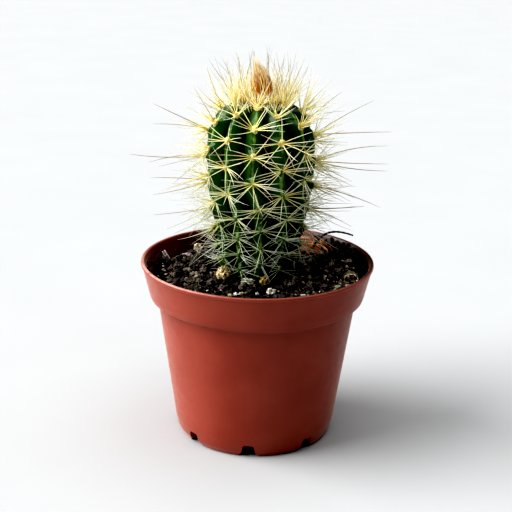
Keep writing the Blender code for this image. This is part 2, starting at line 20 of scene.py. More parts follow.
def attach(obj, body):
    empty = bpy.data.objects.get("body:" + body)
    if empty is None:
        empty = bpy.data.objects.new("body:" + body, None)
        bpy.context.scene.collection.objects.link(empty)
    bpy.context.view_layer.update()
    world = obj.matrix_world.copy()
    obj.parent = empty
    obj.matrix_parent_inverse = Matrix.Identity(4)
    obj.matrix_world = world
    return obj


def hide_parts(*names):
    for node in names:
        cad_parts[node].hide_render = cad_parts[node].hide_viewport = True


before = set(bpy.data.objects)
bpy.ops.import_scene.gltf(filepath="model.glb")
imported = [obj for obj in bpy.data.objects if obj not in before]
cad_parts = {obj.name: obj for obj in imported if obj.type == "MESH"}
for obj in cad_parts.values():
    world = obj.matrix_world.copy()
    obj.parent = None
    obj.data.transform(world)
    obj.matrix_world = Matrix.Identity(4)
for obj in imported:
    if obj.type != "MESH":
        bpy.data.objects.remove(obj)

LOG = logging.getLogger("potted_cactus")
MM = 0.001
TINT = "tint"
FULL_TURN = 2 * math.pi
GOLDEN_ANGLE = math.pi * (3 - math.sqrt(5))
MIX_FACTOR, MIX_A, MIX_B, MIX_RESULT = 0, 6, 7, 2

Pair = tuple[float, float]
Triple = tuple[float, float, float]
Colour = tuple[float, float, float, float]
Faces = list[np.ndarray]
Template = tuple[np.ndarray, Faces]
Socket = bpy.types.NodeSocket
Settings = dict[str | int, object]


def linear(hex_colour: str) -> Colour:
    """Turn an sRGB hex colour into linear RGBA.

    Args:
        hex_colour: six hex digits.

    Returns:
        The linear red, green, blue and an alpha of 1.
    """
    channels = [int(hex_colour[i:i + 2], 16) / 255 for i in (0, 2, 4)]
    red, green, blue = (((c + 0.055) / 1.055) ** 2.4 if c > 0.04045 else c / 12.92
                        for c in channels)
    return red, green, blue, 1.0


def blend(low: Colour, high: Colour, share: float) -> Colour:
    """Mix two linear colours, from all low at share 0 to all high at share 1."""
    return tuple(a + (b - a) * share for a, b in zip(low, high))


def lit(colour: Colour, light: float) -> Colour:
    """A linear colour made this many times as bright."""
    return colour[0] * light, colour[1] * light, colour[2] * light, 1.0


def cells(size: float) -> float:
    """Texture scale, in cells a metre, that draws one cell this many millimetres wide."""
    return 1 / (size * MM)


def share_between(value: float, low: float, high: float) -> float:
    """How far a value lies from low to high, held between 0 and 1."""
    return min(max((value - low) / (high - low), 0.0), 1.0)


def add_node(tree: bpy.types.NodeTree, kind: str, settings: Settings) -> bpy.types.Node:
    """Add a shader node with its settings and links.

    Args:
        tree: the material's node tree.
        kind: the node's type name, without the word ShaderNode.
        settings: values, or the sockets that feed an input, by property name or by input name
            or number; "stops" holds a ramp's (position, hex colour) pairs.

    Returns:
        The new node.
    """
    node = tree.nodes.new(f"ShaderNode{kind}")
    for name, value in settings.items():
        if name == "stops":
            ramp = node.color_ramp
            ramp.elements.remove(ramp.elements[-1])
            ramp.elements[0].position = value[0][0]
            ramp.elements[0].color = linear(value[0][1])
            for position, hex_colour in value[1:]:
                ramp.elements.new(position).color = linear(hex_colour)
        elif isinstance(value, Socket):
            tree.links.new(value, node.inputs[name])
        elif isinstance(name, str) and name in node.bl_rna.properties:
            setattr(node, name, value)
        else:
            node.inputs[name].default_value = value
    return node


class Surface:
    """A Principled material in the making, with its place socket in the part's own frame."""

    def __init__(self, name: str, settings: Settings) -> None:
        """Start the material.

        Args:
            name: the material's name.
            settings: the Principled shader's constants by input name.
        """
        self.material = bpy.data.materials.new(name)
        self.material.use_nodes = True
        self.tree = self.material.node_tree
        self.shader = self.tree.nodes["Principled BSDF"]
        for socket, value in settings.items():
            self.shader.inputs[socket].default_value = value
        self.place = self.add("TexCoord", {}).outputs["Object"]
        self.normal: Socket | None = None

    def add(self, kind: str, settings: Settings) -> bpy.types.Node:
        """Add a node to this material; see add_node."""
        return add_node(self.tree, kind, settings)

    def tint(self) -> Socket:
        """The colour that each point of the mesh carries."""
        return self.add("VertexColor", {"layer_name": TINT}).outputs["Color"]

    def axis(self, number: int) -> Socket:
        """The place's coordinate along an axis, 0 for x to 2 for z, in metres."""
        return self.add("SeparateXYZ", {0: self.place}).outputs[number]

    def mottle(self, size: float, detail: float = 3.0, stretch: Triple = (1.0, 1.0, 1.0)) -> Socket:
        """Noise in cells of a real size.

        Args:
            size: the cells' width in millimetres.
            detail: how many finer octaves are added.
            stretch: how many times narrower the cells are along x, y and z.

        Returns:
            The noise's value socket.
        """
        mapped = self.add("Mapping", {"Scale": stretch, "Vector": self.place}).outputs[0]
        return self.add("TexNoise", {"Scale": cells(size), "Detail": detail,
                                     "Vector": mapped}).outputs[0]

    def spread(self, value: Socket, low: float, high: float, to_low: float = 0.0,
               to_high: float = 1.0) -> Socket:
        """Map a value from one range to another and hold it there."""
        return self.add("MapRange", {0: value, 1: low, 2: high, 3: to_low, 4: to_high}).outputs[0]

    def span(self, length: Socket, ends: Pair, to_low: float = 0.0, to_high: float = 1.0) -> Socket:
        """Map a length between two ends in millimetres to another range and hold it there."""
        return self.spread(length, ends[0] * MM, ends[1] * MM, to_low, to_high)

    def patches(self, size: float, detail: float, low: float, high: float, to_low: float = 0.0,
                to_high: float = 1.0, stretch: Triple = (1.0, 1.0, 1.0)) -> Socket:
        """Mottling of a real size whose levels from low to high are mapped to another range."""
        return self.spread(self.mottle(size, detail, stretch), low, high, to_low, to_high)

    def joined(self, operation: str, first: Socket | float, second: Socket | float) -> Socket:
        """Join two values, each a socket or a number, by a Math node's operation."""
        return self.add("Math", {"operation": operation, 0: first, 1: second}).outputs[0]

    def product(self, *factors: Socket) -> Socket:
        """Multiply the values of two or more sockets."""
        result = factors[0]
        for factor in factors[1:]:
            result = self.joined("MULTIPLY", result, factor)
        return result

    def measured(self, operation: str, first: Socket, second: Triple = (0.0, 0.0, 0.0)) -> Socket:
        """A number from two vectors, by a Vector Math node's operation."""
        return self.add("VectorMath", {"operation": operation, 0: first,
                                       1: second}).outputs["Value"]

    def mixed(self, factor: Socket | float, low: Socket | str, high: Socket | str,
              mode: str = "MIX") -> Socket:
        """Mix two colours, each a socket or an sRGB hex value.

        Args:
            factor: the share of the second colour, as a socket or a number.
            low: the first colour.
            high: the second colour.
            mode: how they mix, as Blender names it.

        Returns:
            The mixed colour's socket.
        """
        first, second = (linear(tone) if isinstance(tone, str) else tone for tone in (low, high))
        return self.add("Mix", {"data_type": "RGBA", "blend_type": mode, MIX_FACTOR: factor,
                                MIX_A: first, MIX_B: second}).outputs[MIX_RESULT]

    def relief(self, height: Socket, depth: float, strength: float = 1.0) -> None:
        """Raise the surface by a pattern that is this many millimetres deep."""
        settings: Settings = {"Distance": depth * MM, "Strength": strength, "Height": height}
        if self.normal:
            settings["Normal"] = self.normal
        self.normal = self.add("Bump", settings).outputs[0]

    def finish(self, colour: Socket, roughness: Socket | None = None) -> bpy.types.Material:
        """Link the colour, the roughness pattern and the relief to the shader.

        Args:
            colour: the base colour's socket.
            roughness: the roughness pattern's socket, where there is one.

        Returns:
            The finished material.
        """
        for name, socket in (("Base Color", colour), ("Roughness", roughness),
                             ("Normal", self.normal)):
            if socket:
                self.tree.links.new(socket, self.shader.inputs[name])
        return self.material


@dataclass(frozen=True)
class MouldedPolypropylene:
    """Injection-moulded terracotta polypropylene, out of a finely blasted steel mould."""

    pigment: str = "893B2D"
    flow_cloud: str = "924435"
    wear_and_highlight: str = "C2A49C"
    # Dark peat colour that also paints the shade on the inner wall.
    stain_and_shade_tone: str = "1C0A0C"
    sheen: str = "FFE2D8"
    flow_size: float = 16.0
    blast_size: float = 0.45
    lip: Pair = (65.5, 66.0)
    wall_middle: Pair = (38.5, 42.3)
    wall_heights: Pair = (53.0, 66.0)
    stain_foot: Pair = (55.0, 56.0)
    stain_top: Pair = (64.3, 65.7)
    lit_patch_spot: Triple = (18.0, 34.5, 64.0)
    lit_patch_reach: Pair = (3.5, 6.5)
    shade_sides: Pair = (-34.0, -8.0)
    away_from_light: Triple = (0.85, 0.5, 0.0)
    lit_lip_reach: Pair = (-40.0, -28.0)

    def material(self) -> bpy.types.Material:
        """Satin body, slight flow clouds, a fine blasted skin and a lip pale from wear and a
        painted highlight.
        """
        surface = Surface("terracotta_polypropylene", {
            "Roughness": 0.42, "IOR": 1.49, "Specular IOR Level": 0.45, "Sheen Weight": 0.42,
            "Sheen Roughness": 0.35, "Sheen Tint": linear(self.sheen)})
        body = surface.mixed(surface.patches(self.flow_size, 3.0, 0.35, 0.65), self.pigment,
                             self.flow_cloud)
        height = surface.axis(2)
        # The lip's pale band is partly wear and partly a painted highlight, strongest at the lit
        # front left.
        lip = surface.span(height, self.lip)
        rub = surface.product(lip, surface.patches(2.2, 5.0, 0.2, 0.55))
        from_lit_side = surface.measured("DOT_PRODUCT", surface.place, self.away_from_light)
        lit_side_share = surface.span(from_lit_side, self.lit_lip_reach, 1.0, 0.15)
        wear_and_highlight_share = surface.product(surface.spread(rub, 0.0, 1.0, 0.1, 0.85), lip, lit_side_share)
        colour = surface.mixed(wear_and_highlight_share, body, self.wear_and_highlight)
        # The inner wall takes a peat stain that is mostly painted shade.
        colour = surface.mixed(self.stain(surface, height, from_lit_side), colour, self.stain_and_shade_tone)
        surface.relief(surface.mottle(self.blast_size, 2.0), 0.02, 0.35)
        surface.relief(surface.mottle(5.0, 1.0, (1.0, 1.0, 0.25)), 0.05, 0.25)
        return surface.finish(colour, surface.patches(3.0, 4.0, 0.3, 0.7, 0.36, 0.5))

    def stain(self, surface: Surface, height: Socket, from_lit_side: Socket) -> Socket:
        """How far the inner wall is darkened: partly dried peat of past waterings, mostly painted
        shade.

        Args:
            surface: the material in the making.
            height: the point's height in metres.
            from_lit_side: how far the point lies from the lit front left, where the lip is kept
                bare of the painted shade.

        Returns:
            The share of stain and painted shade, 0 outside and towards the lip.
        """
        flat = surface.add("VectorMath", {"operation": "MULTIPLY", 0: surface.place,
                                          1: (1.0, 1.0, 0.0)}).outputs[0]
        middle = surface.span(height, self.wall_heights, *(r * MM for r in self.wall_middle))
        depth = surface.joined("SUBTRACT", middle, surface.measured("LENGTH", flat))
        bare = surface.product(surface.span(height, self.stain_top),
                               surface.span(from_lit_side, self.lit_lip_reach, 0.85, 0.08))
        # Painted light and shade: a lit patch behind the stem stays bare, and the right wall, in
        # the stem's shadow, is darkened most.
        away = surface.measured("DISTANCE", surface.place, tuple(v * MM for v in self.lit_patch_spot))
        return surface.product(
            surface.span(depth, (0.0, 0.2)), surface.span(height, self.stain_foot),
            surface.joined("SUBTRACT", 1.0, bare),
            surface.patches(4.0, 5.0, 0.3, 0.66, 0.88, 1.0, (1.0, 1.0, 0.5)),
            surface.span(away, self.lit_patch_reach, 0.55),
            surface.span(surface.axis(0), self.shade_sides, 0.52))


@dataclass(frozen=True)
class DampPeat:
    """Milled sphagnum peat, damp from watering."""

    wet: str = "25201D"
    fibre: str = "3E352E"
    dust: str = "6E6254"
    fibre_size: float = 1.1
    dust_size: float = 0.5

    def material(self) -> bpy.types.Material:
        """Near-black and dull, broken by brown fibre and a little pale dust."""
        surface = Surface("damp_peat", {"Roughness": 0.88, "IOR": 1.4})
        fibre = surface.patches(self.fibre_size, 5.0, 0.42, 0.66)
        dust = surface.patches(self.dust_size, 2.0, 0.6, 0.72)
        surface.relief(surface.mottle(0.6, 6.0), 0.5)
        return surface.finish(surface.mixed(dust, surface.mixed(fibre, self.wet, self.fibre),
                                            self.dust))


@dataclass(frozen=True)
class CrushedGrain:
    """Crushed pumice, clay and lime grit, or broken peat: rough grains, each its own colour."""

    name: str
    pore_size: float
    roughness: float
    shade: str = "6E665C"

    def material(self) -> bpy.types.Material:
        """Each grain's own colour, stained darker in its pores."""
        surface = Surface(self.name, {"Roughness": self.roughness, "IOR": 1.5})
        stain = surface.patches(self.pore_size, 4.0, 0.34, 0.62)
        dark = surface.mixed(1.0, surface.tint(), self.shade, "MULTIPLY")
        surface.relief(surface.mottle(self.pore_size * 0.6, 3.0), 0.18)
        return surface.finish(surface.mixed(stain, dark, surface.tint()))


@dataclass(frozen=True)
class WaxyEpidermis:
    """A living cactus skin under its own thin coat of wax.

    The mesh's tint holds the rib profile in red, the age in green and how near an areole is in
    blue, with the painted highlight streak below each areole also in blue.
    """

    shaded_groove: str = "1A250D"
    flank: str = "1D3A10"
    shoulder: str = "214810"
    crest: str = "769A4C"
    corky: str = "4E5A26"
    stoma: str = "56783A"
    stoma_spacing: float = 0.55

    def material(self) -> bpy.types.Material:
        """Deep green flanks, grooves darkened as painted shade, crests paled partly as a painted
        highlight, a wax gloss and a dull corky foot.
        """
        surface = Surface("waxy_epidermis", {
            "Roughness": 0.4, "IOR": 1.42, "Specular IOR Level": 0.3, "Coat Weight": 0.28,
            "Coat Roughness": 0.12})
        profile, age, areole = surface.add("SeparateColor", {0: surface.tint()}).outputs
        clouds = surface.patches(4.0, 4.0, 0.3, 0.7, -0.04, 0.012)
        # The profile ramp paints shade into the grooves and, partly, a highlight on the crests.
        stops = ((0.0, self.shaded_groove), (0.42, self.flank), (0.975, self.shoulder),
                 (0.998, self.crest))
        skin = surface.add("ValToRGB", {"stops": stops,
                                        0: surface.joined("ADD", profile, clouds)}).outputs[0]
        stomata = surface.add("TexVoronoi", {"Scale": cells(self.stoma_spacing),
                                             "Vector": surface.place}).outputs["Distance"]
        dots = surface.spread(stomata, 0.12, 0.3, 0.22, 0.0)
        skin = surface.mixed(dots, skin, self.stoma)
        worn = surface.product(age, surface.patches(3.0, 5.0, 0.4, 0.7))
        skin = surface.mixed(worn, skin, self.corky)
        # Paler at each areole and along the painted highlight streak below it.
        skin = surface.mixed(surface.spread(areole, 0.3, 1.0, 0.0, 0.4), skin, self.stoma)
        surface.relief(surface.mottle(1.6, 4.0), 0.16, 0.7)
        surface.relief(dots, 0.03, 0.4)
        return surface.finish(skin, surface.patches(2.4, 3.0, 0.3, 0.7, 0.3, 0.46))


@dataclass(frozen=True)
class LignifiedSpine:
    """A cactus spine: hardened wood fibre, smooth, translucent and coloured along its length."""

    name: str = "lignified_spine"
    roughness: float = 0.42
    streak: str = "DCCFA8"
    translucency: float = 0.6
    depth: float = 0.8

    def material(self) -> bpy.types.Material:
        """The spine's own colour with a fine streak, lit through, with a soft shine."""
        surface = Surface(self.name, {
            "Roughness": self.roughness, "IOR": 1.53, "Subsurface Weight": self.translucency,
            "Subsurface Radius": (1.0, 0.8, 0.5), "Subsurface Scale": self.depth * MM})
        warm = surface.mixed(1.0, surface.tint(), self.streak, "MULTIPLY")
        surface.relief(surface.mottle(0.3, 2.0), 0.02, 0.5)
        return surface.finish(surface.mixed(surface.patches(0.8, 2.0, 0.4, 0.7, 0.0, 0.35),
                                            surface.tint(), warm))


@dataclass(frozen=True)
class AreoleFelt:
    """The short wool of an areole: dense matted hairs that catch light along the edge."""

    hair_size: float = 0.18
    shadow: str = "A08A5A"

    def material(self) -> bpy.types.Material:
        """A dull felt, darker between its hairs, with a soft sheen."""
        surface = Surface("areole_felt", {"Roughness": 0.95, "IOR": 1.5, "Sheen Weight": 0.3})
        hairs = surface.mottle(self.hair_size, 3.0)
        dark = surface.mixed(1.0, surface.tint(), self.shadow, "MULTIPLY")
        surface.relief(hairs, 0.12)
        return surface.finish(surface.mixed(surface.spread(hairs, 0.35, 0.6), dark,
                                            surface.tint()))


@dataclass(frozen=True)
class DriedPlant:
    """Dead plant tissue, such as a withered flower, a leaf, a bark splinter or a root."""

    name: str
    pale: str
    dark: str
    vein_size: float
    roughness: float = 0.7
    grain: Triple = (1.0, 1.0, 1.0)
    relief: float = 0.2

    def material(self) -> bpy.types.Material:
        """Two shades in shrivelled veins, with the dark one in the folds."""
        surface = Surface(self.name, {"Roughness": self.roughness, "IOR": 1.47})
        veins = surface.mottle(self.vein_size, 5.0, self.grain)
        colour = surface.mixed(surface.spread(veins, 0.38, 0.62), self.dark, self.pale)
        spots = surface.patches(self.vein_size * 0.4, 2.0, 0.56, 0.7, 0.0, 0.6)
        surface.relief(veins, self.relief)
        return surface.finish(surface.mixed(spots, colour, self.dark))


def ring_topology(rows: int, columns: int) -> Faces:
    """Faces of rows of points round an axis, between a first and a last point on it.

    Args:
        rows: how many rings of points there are.
        columns: how many points a ring has.

    Returns:
        The side quads and the end triangles, as arrays of point numbers.
    """
    column = np.arange(columns)
    after = (column + 1) % columns
    starts = 1 + np.arange(rows - 1) * columns
    quads = [np.stack([start + column, start + columns + column, start + columns + after,
                       start + after], 1) for start in starts]
    last = 1 + (rows - 1) * columns
    foot = np.full(columns, 1 + rows * columns)
    top = np.stack([np.zeros(columns, int), 1 + column, 1 + after], 1)
    bottom = np.stack([last + column, foot, last + after], 1)
    return [np.concatenate(quads), np.concatenate([top, bottom])]


def level_ring(radius: float, height: float, columns: int, middle: float = 0.0) -> np.ndarray:
    """A level ring of points about the upright axis at x = middle."""
    turns = FULL_TURN * np.arange(columns) / columns
    return np.stack([middle + radius * np.cos(turns), radius * np.sin(turns),
                     np.full(columns, height)], 1)


def smooth_curve(points: tuple[tuple[float, ...], ...], steps: int) -> np.ndarray:
    """Points on a Catmull-Rom curve through the given ones, with the steps between each two."""
    spots = [np.array(point, float) for point in points]
    ends = [2 * spots[0] - spots[1], *spots, 2 * spots[-1] - spots[-2]]
    curve = []
    for before, start, end, after in zip(ends, ends[1:], ends[2:], ends[3:]):
        for t in (step / steps for step in range(steps)):
            curve.append(0.5 * (2 * start + (end - before) * t
                                + (2 * before - 5 * start + 4 * end - after) * t ** 2
                                + (3 * start - before - 3 * end + after) * t ** 3))
    return np.array([*curve, spots[-1]])


def filleted(corners: list[Triple], steps: int = 5) -> list[Pair]:
    """Round off the corners of an open outline.

    Args:
        corners: (radius, height, corner radius) of each corner.
        steps: how many straight pieces make one rounded corner.

    Returns:
        The outline's (radius, height) points.
    """
    outline = [corners[0][:2]]
    for before, corner, after in zip(corners, corners[1:], corners[2:]):
        middle = Vector(corner[:2])
        back, ahead = Vector(before[:2]) - middle, Vector(after[:2]) - middle
        cut = min(corner[2] / math.tan(back.angle(ahead) / 2), back.length * 0.48,
                  ahead.length * 0.48)
        start = middle + back.normalized() * cut
        end = middle + ahead.normalized() * cut
        for t in (step / steps for step in range(steps + 1)):
            outline.append(tuple(start * (1 - t) ** 2 + middle * 2 * t * (1 - t) + end * t ** 2))
    return [*outline, corners[-1][:2]]


def lumps(points: np.ndarray, size: float, octaves: int = 2, seed: float = 0.0) -> np.ndarray:
    """Smooth noise at each point, about -1 to 1, in lumps of a size in millimetres."""
    shift = Vector((seed, seed * 0.7, seed * 1.3))
    return np.array([noise.fractal(Vector(point) / size + shift, 1.0, 2.0, octaves)
                     for point in points])


def settle(thing: bpy.types.Object, slot: str, *nodes: str) -> None:
    """Hide the CAD nodes that a piece stands for, and log its faces, its material slot and those
    nodes.
    """
    if nodes:
        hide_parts(*nodes)
    LOG.info("%s: %d faces, slot %s, stands for %s", thing.name, len(thing.data.polygons), slot,
             ", ".join(nodes) or "no node")


class Shell:
    """Points, faces and colours in millimetres, gathered for one mesh."""

    def __init__(self) -> None:
        """Start with nothing."""
        self.points: list[np.ndarray] = []
        self.faces: Faces = []
        self.tints: list[np.ndarray] = []
        self.count = 0

    def add(self, points: np.ndarray, faces: Faces, tint: np.ndarray | Colour) -> "Shell":
        """Add a part of the mesh.

        Args:
            points: its points, one a row.
            faces: arrays of its faces, numbered within the part, one array for each face size.
            tint: one colour, or one colour a point.

        Returns:
            This shell.
        """
        points = np.asarray(points, float)
        self.points.append(points)
        self.faces += [block + self.count for block in faces]
        self.tints.append(np.broadcast_to(np.asarray(tint, float), (len(points), 4)))
        self.count += len(points)
        return self

    def wrap(self, rows: list[np.ndarray], start: Triple, end: Triple,
             tint: np.ndarray | Colour) -> "Shell":
        """Add a closed skin over rings of points, from a start to an end point on their axis."""
        return self.add(np.concatenate([[start], *rows, [end]]),
                        ring_topology(len(rows), len(rows[0])), tint)

    def stamp(self, template: Template, size: float | np.ndarray, place: Triple, tint: Colour,
              axes: np.ndarray | None = None) -> None:
        """Add a copy of a template.

        Args:
            template: its points and faces.
            size: how far it is stretched.
            place: where it lies.
            tint: its colour.
            axes: the rows that its x, y and z axes turn to, if it is turned.
        """
        points = template[0] * size
        self.add((points if axes is None else points @ axes) + place, template[1], tint)

    def piece(self, name: str, material: bpy.types.Material, slot: str, *nodes: str,
              sharp: float | None = None) -> bpy.types.Object:
        """Make the mesh object, linked to the scene and riding on the part's one body.

        Args:
            name: the object's name.
            material: its material.
            slot: the record's material slot.
            nodes: the CAD nodes that it replaces.
            sharp: the edge angle in degrees from which an edge stays sharp, if any does.

        Returns:
            The object.
        """
        mesh = bpy.data.meshes.new(name)
        points = np.concatenate(self.points) * MM
        corners = np.concatenate([block.ravel() for block in self.faces])
        sizes = np.concatenate([np.full(len(block), block.shape[1]) for block in self.faces])
        starts = np.concatenate([[0], np.cumsum(sizes)[:-1]])
        for rows, key, values in ((mesh.vertices, "co", points.astype(np.float32).ravel()),
                                  (mesh.loops, "vertex_index", corners.astype(np.int32)),
                                  (mesh.polygons, "loop_start", starts.astype(np.int32))):
            rows.add(len(points) if key == "co" else len(values))
            rows.foreach_set(key, values)
        mesh.update(calc_edges=True)
        mesh.validate()
        colours = mesh.color_attributes.new(TINT, "FLOAT_COLOR", "POINT")
        colours.data.foreach_set("color", np.concatenate(self.tints).astype(np.float32).ravel())
        mesh.shade_smooth()
        if sharp:
            mesh.set_sharp_from_angle(angle=math.radians(sharp))
        mesh.materials.append(material)
        thing = bpy.data.objects.new(name, mesh)
        bpy.context.scene.collection.objects.link(thing)
        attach(thing, "root")
        settle(thing, slot, *nodes)
        return thing


def lump_template(seed: int, subdivisions: int, rough: float) -> Template:
    """A rounded, uneven lump of radius 1.

    Args:
        seed: what makes this lump unlike the others.
        subdivisions: how fine its mesh is.
        rough: how far its surface wanders.

    Returns:
        Its points and its triangles.
    """
    ball = bmesh.new()
    bmesh.ops.create_icosphere(ball, subdivisions=subdivisions, radius=1.0)
    points = np.array([vertex.co[:] for vertex in ball.verts])
    faces = np.array([[vertex.index for vertex in face.verts] for face in ball.faces])
    ball.free()
    return points * (1 + rough * lumps(points, 0.9, 3, seed * 3.7))[:, None], [faces]


def clod_template(seed: int, subdivisions: int) -> Template:
    """A torn crumb of peat of radius 1, knobbly and pitted, as points and triangles."""
    points, faces = lump_template(seed, subdivisions, 0.75)
    return points * (1 + 0.3 * lumps(points, 0.34, 2, seed * 1.9))[:, None], faces


def shard_template(seed: int, corners: int) -> Template:
    """A broken grain of radius 1 with flat, angular faces, as points and triangles."""
    chance = random.Random(seed)
    hull = bmesh.new()
    for _corner in range(corners):
        spot = Vector([chance.gauss(0, 1) for _axis in range(3)]).normalized()
        hull.verts.new(spot * chance.uniform(0.72, 1.0))
    made = bmesh.ops.convex_hull(hull, input=hull.verts)
    unused = [item for item in made["geom_interior"] if isinstance(item, bmesh.types.BMVert)]
    bmesh.ops.delete(hull, geom=unused, context="VERTS")
    bmesh.ops.triangulate(hull, faces=hull.faces)
    bmesh.ops.recalc_face_normals(hull, faces=hull.faces)
    hull.verts.index_update()
    points = np.array([vertex.co[:] for vertex in hull.verts])
    faces = np.array([[vertex.index for vertex in face.verts] for face in hull.faces])
    hull.free()
    return points, [faces]


@dataclass(frozen=True)
class Spine:
    """One spine: a tapering needle with a slight bow, coloured at its root, middle and tip."""

    root: Vector | np.ndarray
    tip: Vector | np.ndarray
    bow: Vector | np.ndarray
    radius: float
    colours: tuple[Colour, Colour, Colour]


def spine_shell(spines: list[Spine], sides: int = 5, rows: int = 7) -> Shell:
    """Gather spines into one mesh.

    Args:
        spines: the spines.
        sides: how many sides a spine has.
        rows: how many rings of points it has from root to tip.

    Returns:
        The shell, with each spine's colours along its length.
    """
    shares = np.linspace(0.0, 0.94, rows)
    turns = FULL_TURN * np.arange(sides) / sides
    roots, tips, bows = (np.array([getattr(spine, end)[:] for spine in spines])
                         for end in ("root", "tip", "bow"))
    radii = np.array([spine.radius for spine in spines])[:, None] * (1 - 0.86 * shares ** 1.7)
    along = tips - roots
    along /= np.linalg.norm(along, axis=1)[:, None]
    helper = np.where(np.abs(along[:, 2:3]) > 0.8, [[1.0, 0.0, 0.0]], [[0.0, 0.0, 1.0]])
    side = np.cross(along, helper)
    side /= np.linalg.norm(side, axis=1)[:, None]
    spread = (side[:, None, :] * np.cos(turns)[None, :, None]
              + np.cross(side, along)[:, None, :] * np.sin(turns)[None, :, None])
    line = (roots[:, None, :] + (tips - roots)[:, None, :] * shares[None, :, None]
            + bows[:, None, :] * (4 * shares * (1 - shares))[None, :, None])
    rings = line[:, :, None, :] + spread[:, None, :, :] * radii[:, :, None, None]
    count = len(spines)
    points = np.concatenate([roots[:, None, :], rings.reshape(count, -1, 3), tips[:, None, :]], 1)
    ramp = np.concatenate([[0.0], np.repeat(shares, sides), [1.0]])
    first, last = np.clip(1 - ramp / 0.45, 0, 1), np.clip((ramp - 0.45) / 0.55, 0, 1)
    tints = np.einsum("pc,sck->spk", np.stack([first, 1 - first - last, last], 1),
                      np.array([spine.colours for spine in spines]))
    offsets = np.arange(count)[:, None, None] * points.shape[1]
    blocks = [(block[None] + offsets).reshape(-1, block.shape[1])
              for block in ring_topology(rows, sides)]
    return Shell().add(points.reshape(-1, 3), blocks, tints.reshape(-1, 4))


